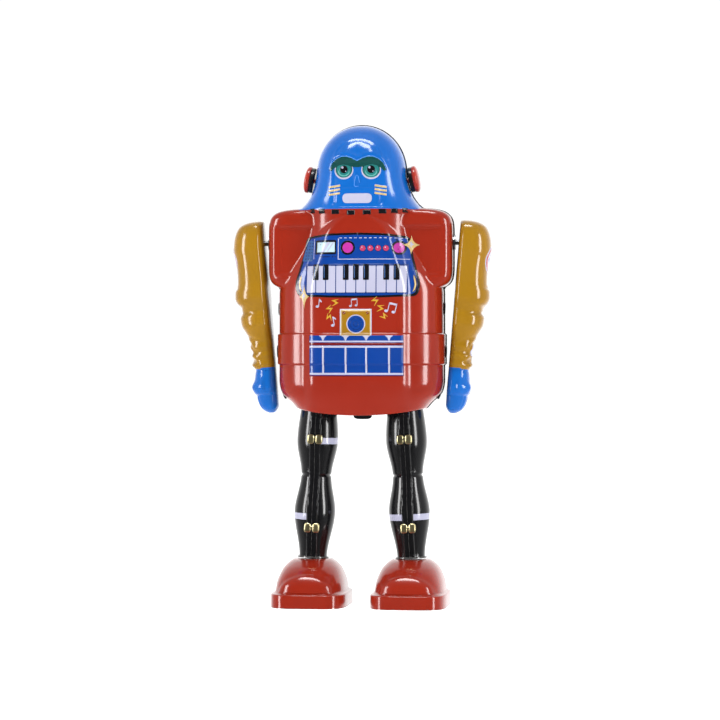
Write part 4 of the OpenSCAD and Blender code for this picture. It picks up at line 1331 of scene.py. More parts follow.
    @staticmethod
    def _notes(sheet: PrintSheet) -> None:
        """Small white notes and gold zigzags round the speaker."""
        single = [disc(-0.6, -1.7, 0.75, 0.58, 20), rect(-0.05, -1.7, 0.28, 2.0),
                  [(0.28, 2.0), (1.4, 0.9), (1.2, 0.4), (0.28, 1.1)]]
        double = [disc(-1.7, -1.7, 0.72, 0.55, 20), disc(1.3, -1.5, 0.72, 0.55, 20),
                  rect(-1.22, -1.7, -0.92, 1.9),
                  rect(1.78, -1.5, 2.08, 2.1), [(-1.22, 1.2), (2.08, 1.4), (2.08, 2.2), (-1.22, 2.0)]]
        for shape, x, z, angle, size in ((single, -17.8, 144.3, -6, 1.0), (double, -1.2, 144.5, 3, 0.9),
                                         (double, 16.6, 142.0, -14, 1.15), (single, -10.8, 135.7, 12, 1.1)):
            sheet.lay(Ink.WHITE, 2, *[turned(part, angle, (x, z), size) for part in shape])
        bolt = stroke([(1.3, 2.0), (-1.2, 1.0), (0.9, 0.2), (-1.3, -1.7)], 0.75, (0.2, 0.2))
        for x, z, angle, size in ((-9.9, 144.3, -8, 1.0), (-12.4, 141.2, 20, 0.95), (-12.5, 137.6, 62, 0.9),
                                  (9.3, 145.0, 20, 1.0), (11.6, 141.6, -16, 1.0), (13.0, 137.8, -58, 0.9)):
            sheet.lay(Ink.AMBER, 2, turned(bolt, angle, (x, z), size))

    def _speaker(self, sheet: PrintSheet) -> None:
        """The square speaker with its round cone."""
        sheet.lay(Ink.WHITE, 2, rect(-7.7, 128.9, 7.4, 141.5))
        sheet.lay(Ink.GOLD, 3, rect(-7.25, 128.9, 6.95, 141.05))
        sheet.lay(Ink.YELLOW, 4, rect(-6.9, 129.2, 6.6, 140.7))
        for x in (-5.7, 5.4):
            sheet.lay(Ink.MAROON, 5, disc(x, 139.6, 0.72, count=20))
            sheet.lay(Ink.GOLD, 6, stroke([(x - 0.5, 139.3), (x + 0.5, 139.9)], 0.18))
        rings = ((Ink.WHITE, 4.45), (Ink.PANEL, 4.0), (Ink.DEEP, 2.9), (Ink.PANEL, 2.55), (Ink.DEEP, 1.3),
                 (Ink.PANEL, 0.95))
        for layer, (ink, r) in enumerate(rings, 5):
            sheet.lay(ink, layer, disc(*self.cone, r))

    def _belt(self, sheet: PrintSheet) -> None:
        """Blue panel with white bars across the belt."""
        w = self.panel_half
        sheet.lay(Ink.MAROON, 1, rect(-w - 0.25, 109.6, w + 0.25, 129.0))
        sheet.lay(Ink.PANEL, 2, rect(-w, 110.1, w, 129.0))
        sheet.lay(Ink.WHITE, 3, rect(-w, 125.85, w, 126.5), rect(-w, 123.2, w, 124.15),
                  rect(-w, 110.4, w, 111.3))
        sheet.lay(Ink.MAROON, 3, rect(-w, 124.3, w, 125.6))
        notch = [(0.25, 126.6), (0.8, 128.0), (2.0, 129.0)]
        for x in self.panel_bars:
            sheet.lay(Ink.WHITE, 4, rect(x - 0.4, 110.6, x + 0.4, 124.0))
            sheet.lay(Ink.WHITE, 3, [(x - dx, z) for dx, z in notch[::-1]] + [(x + dx, z) for dx, z in notch])
            sheet.lay(Ink.DEEP, 3, rect(x + 0.4, 111.3, x + 0.75, 123.2))

    @staticmethod
    def _collar(sheet: PrintSheet) -> None:
        """Row of dark checks round the neck."""
        checks = ((-21.9, 1.2), (-17.1, 1.5), (-10.4, 1.8), (-2.9, 1.9), (4.7, 1.9), (12.1, 1.8), (17.6, 1.5),
                  (22.4, 1.2))
        for x, half in checks:
            z = 187.1 + 0.06 * abs(x)
            sheet.lay(Ink.COIL, 1, rect(x - half, z - 1.15, x + half, z + 1.0))

    def build(self, shop: Workshop, form: BodyForm) -> None:
        """Lay the whole print on the chest.

        Args:
            shop: where pieces are made.
            form: the body's form.
        """
        sheet = PrintSheet()
        for part in (self._case, self._controls, self._keyboard, self._sparks, self._notes, self._speaker,
                     self._belt, self._collar):
            part(sheet)
        sheet.build(shop, "chest", form.on_front)


@dataclass
class FacePrint:
    """Brows, eyes, nose, cheek stripes and mouth printed on the head, with a painted highlight along the top
    of the brows.
    """

    eye_x: float = 6.5
    eye_z: float = 207.6

    def build(self, shop: Workshop, form: BodyForm) -> None:
        """Lay the face on the head.

        Args:
            shop: where pieces are made.
            form: the body's form.
        """
        sheet = PrintSheet(cell=0.5)
        for way in (-1, 1):
            x = way * self.eye_x
            sheet.lay(Ink.WHITE, 1, disc(x, self.eye_z - 0.2, 4.6, 4.35))
            sheet.lay(Ink.GREEN, 2, disc(x, self.eye_z + 0.15, 4.1, 3.85))
            sheet.lay(Ink.IRIS, 3, disc(x, self.eye_z, 3.65, 3.5))
            sheet.lay(Ink.MINT, 4, disc(x, self.eye_z - 1.0, 2.7, 2.1))
            sheet.lay(Ink.IRIS, 5, disc(x, self.eye_z - 0.4, 2.5, 2.2))
            sheet.lay(Ink.COIL, 6, disc(x, self.eye_z + 0.2, 1.85))
            sheet.lay(Ink.WHITE, 7, disc(x - 0.75, self.eye_z + 1.1, 0.55, count=20),
                      disc(x + 0.9, self.eye_z - 0.7, 0.28, count=16))
            for z in (199.9, 198.1, 196.3):
                ends = ((way * 8.3, z + 0.25), (way * 13.9, z - 0.55))
                sheet.lay(Ink.GOLD, 1, stroke(ends, 0.95))
                sheet.lay(Ink.WHITE, 2, stroke([(x0, z0 + 0.42) for x0, z0 in ends], 0.2))
        upper = [(0, 211.6), (2.6, 212.9), (5.0, 213.7), (7.4, 213.7), (10.0, 212.7), (12.2, 210.8),
                 (13.7, 207.6)]
        lower = [(12.6, 207.0), (11.0, 208.6), (9.0, 209.7), (6.8, 210.1), (4.4, 209.6), (2.2, 208.9),
                 (0, 208.7)]
        brow = upper + lower + [(-x, z) for x, z in lower[-2::-1]] + [(-x, z) for x, z in upper[:0:-1]]
        sheet.lay(Ink.GREEN, 8, brow)
        # Painted highlight: a thin sky-blue line along the top edge of the brows, standing in for light on
        # the raised brow ridge.
        brow_painted_highlight = [(-x, z + 0.25) for x, z in upper[::-1]] + [(x, z + 0.25) for x, z in upper[1:]]
        sheet.lay(Ink.SKY, 9, stroke(brow_painted_highlight, 0.4, (0.2, 0.2)))
        nose = rounded([(0.9, 199.7), (-1.5, 199.6), (-1.2, 202.4), (-0.3, 205.2), (0.5, 204.6),
                        (1.2, 201.2)], 0.8)
        sheet.lay(Ink.SKY, 1, stroke(nose[3:-3], 0.3))
        mouth = rounded(rect(-7.0, 191.7, 7.0, 196.3), 2.25, 10)
        sheet.lay(Ink.WHITE, 2, mouth)
        sheet.build(shop, "face", form.on_front, slot="blue_tin")


# limbs


@dataclass
class Arm:
    """One arm: a deep outer pressing and a shallow inner one, sleeve in yellow and hand in blue.

    Each station holds a share of the length from the top down, then the reach and the depth there as shares
    of the greatest ones.
    """

    side: Side
    length: float = 92.7
    top: float = 11.0
    out: float = 13.6
    into: float = 3.3
    depth: float = 23.0
    lean: float = 4.7
    x: float = 46.8
    z: float = 173.7
    tin: float = 0.6
    wrist: float = 0.769
    round_power: float = 0.85
    stations: tuple[tuple[float, float, float], ...] = (
        (0, 0.14, 0.12), (0.004, 0.32, 0.36), (0.012, 0.50, 0.56), (0.03, 0.68, 0.75), (0.06, 0.80, 0.87),
        (0.10, 0.88, 0.95), (0.15, 0.92, 1.0), (0.19, 0.88, 0.97), (0.26, 0.85, 0.945), (0.32, 0.87, 0.93),
        (0.36, 0.98, 0.97), (0.395, 1.0, 1.0), (0.425, 0.93, 0.965), (0.455, 0.80, 0.89),
        (0.47, 0.79, 0.87), (0.50, 0.87, 0.92), (0.535, 0.85, 0.93), (0.575, 0.72, 0.82),
        (0.61, 0.60, 0.72), (0.63, 0.57, 0.68), (0.655, 0.60, 0.70), (0.68, 0.53, 0.65), (0.70, 0.57, 0.68),
        (0.725, 0.51, 0.64), (0.745, 0.56, 0.665), (0.766, 0.50, 0.60), (0.772, 0.47, 0.56),
        (0.79, 0.50, 0.60), (0.83, 0.55, 0.69), (0.87, 0.60, 0.75), (0.895, 0.57, 0.71),
        (0.905, 0.50, 0.60), (0.92, 0.50, 0.58), (0.95, 0.46, 0.53), (0.975, 0.37, 0.44),
        (0.99, 0.26, 0.30), (1.0, 0.13, 0.16))

    def _shares(self) -> Array:
        """Shares of the length that get a ring, from the fingers up."""
        parts = [np.linspace(0, 0.03, 10), np.linspace(0.03, 0.97, 165), np.linspace(0.97, 1, 10),
                 [self.wrist, self.wrist + 0.0005]]
        return np.unique(np.concatenate(parts))[::-1]

    @staticmethod
    def _folds(s: Array, u: Array, v: Array, d: Array) -> tuple[Array, Array]:
        """Press the elbow creases, the wrinkled cuff, the fingers and the thumb into the outer face.

        Args:
            s: share of the length of each ring.
            u: places fore and aft.
            v: reach of each point.
            d: half depth of each ring.

        Returns:
            The new u and v.
        """
        free = ease(v / 1.6)
        fold = 0.6 * hump(s, 0.44, 0.010) + 0.5 * hump(s, 0.345, 0.008) + 0.4 * hump(s, 0.475, 0.008)
        crease = np.cos(6 * (np.arctan2(v, u) - 1.2) + 60 * (s - 0.4))
        v = v - fold * (0.6 + 0.4 * crease) * free
        cuff = ease((s - 0.59) / 0.02) * ease((0.762 - s) / 0.01)
        cuff = cuff * np.maximum(ease((np.abs(s - 0.672) - 0.033) / 0.01), ease((np.abs(u) - 4.0) / 1.2))
        v = v + 0.42 * cuff * np.sin(5.0 * np.arctan2(v, np.abs(u)) + 95 * s) * free
        grip = ease((s - 0.90) / 0.01) * ease((0.995 - s) / 0.02) * ease((d * 0.8 - np.abs(u)) / 0.8)
        v = v - 0.5 * grip * np.maximum(np.cos(u * 1.55), 0) ** 4 * free
        u = u - 1.0 * hump(s, 0.858, 0.030) * ease((-u - 2) / 2.5) * ease((v - 1.0) / 2.0)
        return u, v + 0.9 * hump(s, 0.858, 0.028) * hump(u, -d * 0.62, 2.6) * free

    def _rings(self, reach: float, inset: float, inner: bool) -> Array:
        """Rings of one half, from the fingers up.

        Args:
            reach: how far the half stands out from the seam.
            inset: 0 outside, or the tin's thickness inside.
            inner: True for the half that faces the torso.

        Returns:
            Points as rings x directions x 3.
        """
        share = self._shares()
        table = smooth_curve(self.stations, share)
        a = np.radians(np.linspace(180, 360, 61))
        s = share[:, None]
        grow = np.minimum(table[:, 0:1] * 2.4, 1) if inner else table[:, 0:1]
        d = np.maximum(table[:, 1:2] * self.depth / 2 - inset, 0.4)
        r = np.maximum(grow * reach - inset, 0.2)
        c, n = np.cos(a)[None, :], np.sin(a)[None, :]
        u = d * np.sign(c) * np.abs(c) ** self.round_power
        v = r * np.abs(n) ** self.round_power
        if not inner:
            u, v = self._folds(s, u, v, d)
        ends = np.where(s < 0.012, -inset, np.where(s > 0.985, inset, 0))
        z = np.broadcast_to(self.top - s * self.length + ends, u.shape)
        return self._placed(-v if inner else v, u, z)

    def _placed(self, v: Array, u: Array, z: Array) -> Array:
        """Points on the left arm from reach, depth and height about its pivot."""
        turn = math.radians(self.lean)
        out = self.into + v
        x = out * math.cos(turn) + z * math.sin(turn) + self.x
        return np.stack([x, u, -out * math.sin(turn) + z * math.cos(turn) + self.z], axis=-1)

    def on_side(self, u: Array, z: Array, height: float) -> Array:
        """Points at a height above the arm's outer face.

        Args:
            u: places fore and aft.
            z: heights measured from the pivot.
            height: distance off the tin.

        Returns:
            The points.
        """
        table = smooth_curve(self.stations, (self.top - z) / self.length)
        d, r = table[:, 1] * self.depth / 2, table[:, 0] * self.out
        squared = np.clip(np.abs(u) / d, 0, 0.999) ** (2 / self.round_power)
        return self._placed(r * (1 - squared) ** (self.round_power / 2) + height, u, z)

    def marks(self, shop: Workshop) -> None:
        """Print the badge on the shoulder and the patch on the cuff.

        Args:
            shop: where pieces are made.
        """
        sheet = PrintSheet(cell=0.7)
        badge = (0.0, -7.2)
        for layer, (ink, r) in enumerate(((Ink.WHITE, 6.3), (Ink.EAR_RED, 5.5), (Ink.WHITE, 4.3)), 1):
            sheet.lay(ink, layer, disc(*badge, r, r + 0.3))
        sheet.lay(Ink.PANEL, 4, spark(*badge, 3.4, 3.6, 0.3))
        sheet.lay(Ink.WHITE, 1, rounded(rect(-3.6, -54.0, 3.6, -48.6), 0.8))
        sheet.build(shop, f"{self.side.word}_arm_print", self.on_side, f"{self.side.word}_arm", "yellow_tin",
                    self.side)

    def build(self, shop: Workshop) -> None:
        """Make both halves.

        Args:
            shop: where pieces are made.
        """
        body = f"{self.side.word}_arm"
        for inner, reach, node in ((False, self.out, "outer"), (True, self.into, "inner")):
            outside, inside = self._rings(reach, 0.0, inner), self._rings(reach, self.tin, inner)
            points, faces = half_case(outside, inside, True)
            if not inner:
                faces = [f[::-1] for f in faces]
            points, faces = mirrored(points, faces, self.side)
            centre = np.array([points[f[:4]].mean(axis=0) for f in faces])
            across = centre[:, 0] * self.side.value
            wrist = self.z + self.top - self.wrist * self.length
            hand = centre[:, 2] < wrist - 0.25 - 0.10 * (across - 50)
            shop.piece(f"{body}_{node}_tin", points, faces, [Ink.YELLOW, Ink.BLUE], body,
                       [f"{body}_{node}"], hand.astype(int))


@dataclass
class Leg:
    """One leg: two pressings with a raised strip over the seam, white bands and brass clips."""

    side: Side
    hip: float = 20.5
    hip_z: float = 104.0
    splay: float = 2.3
    ankle_z: float = 22.405
    top_z: float = 97.0
    thick: float = 9.9
    knee: float = 7.3
    ankle: float = 6.7
    knee_share: float = 0.487
    strip: float = 0.75
    strip_half: float = 2.7
    tin: float = 0.6
    band: float = 3.0
    low_band: float = 42.3
    high_band: float = 78.8

    def radius(self, z: Array) -> Array:
        """Radius along the leg, from the ankle up."""
        t = (z - self.ankle_z) / (self.hip_z - self.ankle_z)
        turns = [(0.0, self.ankle), (0.27, self.thick), (self.knee_share, self.knee), (0.69, self.thick),
                 (1.0, self.thick - 2.0)]
        r = np.full_like(t, self.ankle)
        for (t0, r0), (t1, r1) in zip(turns, turns[1:]):
            r = r + (r1 - r0) * ease((t - t0) / (t1 - t0))
        return r

    def _levels(self) -> Array:
        """Ring heights with a ring on each edge of a band and of the knee crease."""
        knee = mix(self.ankle_z, self.hip_z, self.knee_share)
        marks = [knee + d for d in (-1.2, -0.8, -0.4, 0, 0.4, 0.8, 1.2)]
        for z in (self.low_band, self.high_band):
            marks += [z - self.band / 2, z + self.band / 2]
        even = np.linspace(self.ankle_z + self.tin, self.top_z, 110)
        plain = [z for z in even if min(abs(z - m) for m in marks) > 0.3]
        return np.array(sorted(plain + marks))

    def _wall(self, z: Array, a: Array, inset: float) -> Array:
        """Points of the wall about the leg's own axis.

        Args:
            z: ring heights.
            a: directions from the front, in radians.
            inset: 0 outside, or the tin's thickness inside.

        Returns:
            Points as rings x directions x 3.
        """
        zz, aa = np.meshgrid(z, a, indexing="ij")
        r = np.repeat(self.radius(z)[:, None], len(a), axis=1)
        on_strip = ease((self.strip_half - np.abs(r * np.sin(aa))) / 0.7)
        knee = mix(self.ankle_z, self.hip_z, self.knee_share)
        crease = 0.55 * hump(zz, knee, 0.55)
        r = r + self.strip * on_strip - crease * (1 - 0.6 * on_strip) - inset
        return np.stack([r * np.sin(aa), -r * np.cos(aa), zz], axis=-1)

    def place(self, points: Array) -> Array:
        """Points about the leg's axis moved to the splayed left leg."""
        t = math.radians(self.splay)
        x, y, z = points[..., 0], points[..., 1], points[..., 2] - self.hip_z
        across = self.hip + x * math.cos(t) - z * math.sin(t)
        return np.stack([across, y, self.hip_z + x * math.sin(t) + z * math.cos(t)], axis=-1)

    def _half(self, z: Array, a: Array) -> Solid:
        """Closed wall of one half, with the flange that sits on the foot.

        Args:
            z: ring heights.
            a: directions from the front, in radians, rising.

        Returns:
            Points and faces about the leg's own axis.
        """
        outside, inside = self._wall(z, a, 0.0), self._wall(z, a, self.tin)
        points, faces = half_case(outside, inside, False)
        flange = self.ankle + 0.9
        low = np.column_stack([flange * np.sin(a), -flange * np.cos(a), np.full(len(a), self.ankle_z)])
        high = low + (0, 0, self.tin)
        under = inside[0] * (1, 1, 0) + (0, 0, self.ankle_z)
        count, n = len(points), len(a)
        for below, above in ((0, 1), (1, 2), (3, 0)):
            p, q = count + below * n, count + above * n
            faces += [[p + j, p + j + 1, q + j + 1, q + j] for j in range(n - 1)]
        return np.concatenate([points, low, high, outside[0], under]), faces

    def _banded(self, way: int) -> list[float]:
        """Heights of the white bands on one half: outer 1, inner -1."""
        low = self.side is Side.LEFT or way == 1
        high = self.side is Side.RIGHT and way == -1
        return [self.low_band] * low + [self.high_band] * high

    def build(self, shop: Workshop) -> None:
        """Make both halves and their bands.

        Args:
            shop: where pieces are made.
        """
        body = f"{self.side.word}_leg"
        z = self._levels()
        turns = np.concatenate([np.linspace(0.0, 24, 17), np.linspace(27, 153, 43),
                                np.linspace(156, 180, 17)])
        for name, way in (("outer", 1), ("inner", -1)):
            a = np.radians(turns) if way > 0 else -np.radians(turns)[::-1]
            points, faces = self._half(z, a)
            centre = np.array([points[f[:4]].mean(axis=0) for f in faces])
            off_strip = np.abs(centre[:, 0]) > self.strip_half + 0.05
            which = np.zeros(len(faces), dtype=int)
            for band_z in self._banded(way):
                which[(np.abs(centre[:, 2] - band_z) < self.band / 2 - 0.02) & off_strip] = 1
            points, faces = mirrored(self.place(points), faces, self.side)
            shop.piece(f"{body}_{name}_tin", points, faces, [Ink.BLACK, Ink.WHITE], body,
                       [f"{body}_{name}"], which)


@dataclass
class Foot:
    """One foot: a domed pressing with a toe cap, on a deep rim."""

    side: Side
    x: float = 23.79
    half: float = 18.3
    toe: float = 29.0
    heel: float = 19.0
    height: float = 22.0
    rim: float = 6.5
    ankle: float = 6.7
    tin: float = 0.6

    def _rings(self, inset: float) -> Array:
        """Rings from the floor up, from a table of height, half width, toe, heel and squareness.

        Args:
            inset: 0 outside, or the tin's thickness inside.

        Returns:
            Points as rings x directions x 3.
        """
        r, h, w = self.rim, self.height, self.half
        steps = [(0, 0, 0, 0, 4.5), (0.5, 0, 0, 0, 4.5), (r - 0.5, 0.05, 0.05, 0.05, 4.5),
                 (r, 0.35, 0.4, 0.4, 4.4),
                 (r + 0.35, 1.1, 1.3, 1.2, 4.0), (r + 1.1, 1.5, 1.9, 1.6, 3.5),
                 (mix(r, h, 0.3), 2.0, 2.9, 2.2, 3.2),
                 (mix(r, h, 0.55), 3.2, 5.5, 3.2, 2.9), (mix(r, h, 0.75), 4.8, 9.5, 4.6, 2.7),
                 (mix(r, h, 0.9), 7.0, 14.2, 6.5, 2.5), (mix(r, h, 0.97), 8.6, 17.2, 8.2, 2.4)]
        rows = [(z, w - dw, self.toe - dt, self.heel - dh, power) for z, dw, dt, dh, power in steps]
        rows.append((h, self.ankle + 2.2, self.ankle + 3, self.ankle + 3, 2.3))
        z = np.unique(np.concatenate([np.linspace(0, r - 0.5, 7), np.linspace(r - 0.5, r + 1.1, 14),
                                      np.linspace(r + 1.1, h, 46)]))
        table = smooth_curve(rows, z)
        a = np.radians(np.arange(0, 360, 2.5))
        c, s = np.cos(a)[None, :], np.sin(a)[None, :]
        long = np.where(s < 0, table[:, 1:2], table[:, 2:3])
        radius = oval(c, s, table[:, 0:1], long, table[:, 3:4])
        zz = np.repeat(z[:, None], len(a), axis=1)
        x, y = radius * c, radius * s
        share = (zz - r) / (h - r)
        cap = np.sqrt((x / (w - 4.6)) ** 2 + (np.maximum(share, 0) / 0.62) ** 2)
        raised = 0.9 * ease((1.02 - cap) / 0.16) * ease((-y - 6) / 5) * ease((share - 0.02) / 0.06)
        radius = radius + raised - inset
        zz = zz - np.where(zz > r, inset, 0)
        return np.stack([radius * c, radius * s, zz], axis=-1)

    def build(self, shop: Workshop) -> None:
        """Make the pressing.

        Args:
            shop: where pieces are made.
        """
        body = f"{self.side.word}_leg"
        outside, inside = self._rings(0.0), self._rings(self.tin)
        m, n = outside.shape[:2]
        o = m * n
        faces = grid_faces(m, n, closed=True) + grid_faces(m, n, o, closed=True, flip=True)
        faces += [[j, o + j, o + (j + 1) % n, (j + 1) % n] for j in range(n)]
        faces.append([(m - 1) * n + j for j in range(n)])
        faces.append([o + (m - 1) * n + j for j in range(n - 1, -1, -1)])
        points = np.concatenate([outside.reshape(-1, 3), inside.reshape(-1, 3)]) + (self.x, 0, 0)
        points, faces = mirrored(points, faces, self.side)
        shop.piece(f"{self.side.word}_foot_tin", points, faces, [Ink.RED], body,
                   [f"{self.side.word}_foot_shell"])


# small fittings


@dataclass(frozen=True)
class Spot:
    """One place of a repeated fitting, in millimetres about the body axis, with its turn in degrees."""

    place: tuple[float, float, float]
    turn: tuple[float, float, float] = (0.0, 0.0, 0.0)
    size: float = 1.0


def lathe(profile: Sequence[Point], count: int = 48) -> Solid:
    """Closed solid turned about Z.

    Args:
        profile: (radius, height) points from the bottom centre to the top centre, ends at radius 0.
        count: points in a ring.

    Returns:
        Points and faces.
    """
    rings = profile[1:-1]
    a = np.linspace(0, 2 * np.pi, count, endpoint=False)
    points = [np.column_stack([r * np.cos(a), r * np.sin(a), np.full(count, z)]) for r, z in rings]
    faces = grid_faces(len(rings), count, closed=True)
    low, high = len(rings) * count, len(rings) * count + 1
    faces += [[low, (j + 1) % count, j] for j in range(count)]
    top = (len(rings) - 1) * count
    faces += [[high, top + j, top + (j + 1) % count] for j in range(count)]
    ends = np.array([[0, 0, profile[0][1]], [0, 0, profile[-1][1]]], dtype=float)
    return np.concatenate([*points, ends]), faces


def domed_lobe(half_x: float, half_z: float, height: float, count: int = 32, rings: int = 8) -> Solid:
    """Rounded pad bulging along -Y, flat at the back.

    Args:
        half_x: half width.
        half_z: half height.
        height: how far it bulges past its upright wall.
        count: points in a ring.
        rings: rings on the bulge.

    Returns:
        Points and faces.
    """
    wall = 0.25
    back = 1.0
    a = np.linspace(0, 2 * np.pi, count, endpoint=False)
    rows = []
    for t in np.linspace(0, np.pi / 2, rings, endpoint=False):
        k = math.cos(t) ** 0.6
        r = oval(np.cos(a), np.sin(a), half_x * k, half_z * k, 3.4)
        bulge = np.full(count, -wall - height * math.sin(t))
        rows.append(np.column_stack([r * np.cos(a), bulge, r * np.sin(a)]))
    rows.insert(0, rows[0] + (0, wall + back, 0))
    faces = grid_faces(len(rows), count, closed=True)
    n = len(rows) * count
    last = n - count
    faces += [[n, (j + 1) % count, j] for j in range(count)]
    faces += [[n + 1, last + j, last + (j + 1) % count] for j in range(count)]
    return np.concatenate([*rows, [[0, back, 0], [0, -wall - 0.02 - height, 0]]]), faces


def evaluated_mesh(holder: bpy.types.Object) -> bpy.types.Mesh:
    """Mesh of an object with its modifiers or its curve worked out."""
    bpy.context.view_layer.update()
    graph = bpy.context.evaluated_depsgraph_get()
    return bpy.data.meshes.new_from_object(holder.evaluated_get(graph))


class Repeater:
    """Sets copies of one master on marked points with Geometry Nodes, and hands back one mesh."""

    def __init__(self) -> None:
        """Build the node group."""
        tree = bpy.data.node_groups.new("set_fittings", "GeometryNodeTree")
        tree.interface.new_socket("Points", in_out="INPUT", socket_type="NodeSocketGeometry")
        self.sockets = {}
        for label, kind in (("Master", "Object"), ("Finish", "Material"), ("Wobble", "Float"),
                            ("Seed", "Int")):
            socket = tree.interface.new_socket(label, in_out="INPUT", socket_type="NodeSocket" + kind)
            self.sockets[label] = socket.identifier
        tree.interface.new_socket("Mesh", in_out="OUTPUT", socket_type="NodeSocketGeometry")
        kit = NodeTools(tree)
        gi, go = kit.add("NodeGroupInput"), kit.add("NodeGroupOutput")
        turn = kit.add("GeometryNodeInputNamedAttribute", {"Name": "turn"}, data_type="FLOAT_VECTOR")
        size = kit.add("GeometryNodeInputNamedAttribute", {"Name": "size"}, data_type="FLOAT")
        source = kit.add("GeometryNodeObjectInfo", {"Object": gi.outputs["Master"]})
        most = gi.outputs["Wobble"]
        least = kit.calc("MULTIPLY", most, -1.0)
        low, high = (kit.add("ShaderNodeCombineXYZ", {k: end for k in "XYZ"}) for end in (least, most))
        shake = kit.add("FunctionNodeRandomValue", {0: low.outputs[0], 1: high.outputs[0],
                                                    "Seed": gi.outputs["Seed"]}, data_type="FLOAT_VECTOR")
        lean = kit.add("ShaderNodeVectorMath", {0: turn.outputs["Attribute"], 1: shake.outputs[0]},
                       operation="ADD")
        euler = kit.add("FunctionNodeEulerToRotation", {0: lean.outputs[0]})
        scale = kit.add("ShaderNodeCombineXYZ", {k: size.outputs["Attribute"] for k in "XYZ"})
        spots = kit.add("GeometryNodeMeshToPoints", {"Mesh": gi.outputs["Points"]})
        parts = {"Points": spots.outputs[0], "Instance": source.outputs["Geometry"],
                 "Rotation": euler.outputs[0], "Scale": scale.outputs[0]}
        put = kit.add("GeometryNodeInstanceOnPoints", parts)
        real = kit.add("GeometryNodeRealizeInstances", {"Geometry": put.outputs[0]})
        done = kit.add("GeometryNodeSetMaterial",
                       {"Geometry": real.outputs[0], "Material": gi.outputs["Finish"]})
        tree.links.new(done.outputs[0], go.inputs["Mesh"])
        self.tree = tree

    def run(self, shop: Workshop, name: str, master: Solid, spots: Sequence[Spot], ink: Ink,
            body: str, nodes: Sequence[str] = (), wobble: float = 0.0,
            seed: int = 1) -> bpy.types.Object:
        """Set a fitting at each spot.

        Args:
            shop: where pieces are made.
            name: the piece's name.
            master: points and faces of one fitting, in millimetres.
            spots: places and turns.
            ink: the finish.
            body: the body they ride on.
            nodes: CAD nodes that they stand for.
            wobble: greatest lean of each copy, in radians.
            seed: seed of the leans.

        Returns:
            The new piece.
        """
        one = bpy.data.meshes.new(name + "_master")
        one.from_pydata((master[0] * MM).tolist(), [], master[1])
        model = bpy.data.objects.new(name + "_master", one)
        marks = bpy.data.meshes.new(name + "_spots")
        places = (np.array([s.place for s in spots]) + (0.0, shop.axis_y, 0.0)) * MM
        marks.from_pydata(places.tolist(), [], [])
        turns = marks.attributes.new("turn", "FLOAT_VECTOR", "POINT")
        turns.data.foreach_set("vector", [math.radians(t) for s in spots for t in s.turn])
        marks.attributes.new("size", "FLOAT", "POINT").data.foreach_set("value", [s.size for s in spots])
        holder = bpy.data.objects.new(name + "_set", marks)
        show(model)
        show(holder)
        modifier = holder.modifiers.new("set", "NODES")
        modifier.node_group = self.tree
        values = {"Master": model, "Finish": shop.palette[ink], "Wobble": wobble, "Seed": seed}
        for label, value in values.items():
            modifier[self.sockets[label]] = value
        mesh = evaluated_mesh(holder)
        mesh.name = name
        for layer in ("turn", "size"):
            if layer in mesh.attributes:
                mesh.attributes.remove(mesh.attributes[layer])
        bpy.data.objects.remove(holder)
        bpy.data.objects.remove(model)
        return shop.finish_mesh(name, mesh, [ink], body, nodes)


@dataclass
class Ears:
    """Round caps on black rings at the sides of the head."""

    x: float = 23.1
    z: float = 203.7
    tilt: float = 11.0
    cap_r: float = 6.4
    ring_r: float = 6.1
    ring_t: float = 1.8
    cap_t: float = 3.0

    def build(self, shop: Workshop, repeater: Repeater) -> None:
        """Make the rings and the caps.

        Args:
            shop: where pieces are made.
            repeater: sets the copies.
        """
        r, t = self.ring_r, self.ring_t
        edge = 0.12
        ring = lathe([(0, 0), (r - 0.5, 0), (r - edge, edge), (r, 0.45), (r, t - 0.45), (r - edge, t - edge),
                      (r - 0.6, t - 0.02), (0, t - 0.02)], 72)
        c, top = self.cap_r, self.ring_t + self.cap_t
        turns = np.radians(range(84, 2, -6))
        crown = [(c * math.sin(u) ** 0.72, top - 1.75 * (1 - math.cos(u))) for u in turns]
        cap = lathe([(0, t), (c - 0.7, t), (c - 0.2, t + edge), (c, t + 0.5), *crown, (0, top)], 72)
        stud_r = 1.2
        stud = lathe([(0, -stud_r), (stud_r, -stud_r), (stud_r, t), (0, t)], 24)
        cap = (np.concatenate([cap[0], stud[0]]), cap[1] + [[k + len(cap[0]) for k in f] for f in stud[1]])
        for side in Side:
            spot = [Spot((side.value * self.x, 0, self.z), (0, side.value * (90 - self.tilt), 0))]
            repeater.run(shop, f"{side.word}_ear_ring_black", ring, spot, Ink.EAR_BLACK, "body",
                         [f"{side.word}_ear_ring"])
            repeater.run(shop, f"{side.word}_ear_cap_red", cap, spot, Ink.EAR_RED, "body",
                         [f"{side.word}_ear_cap"])


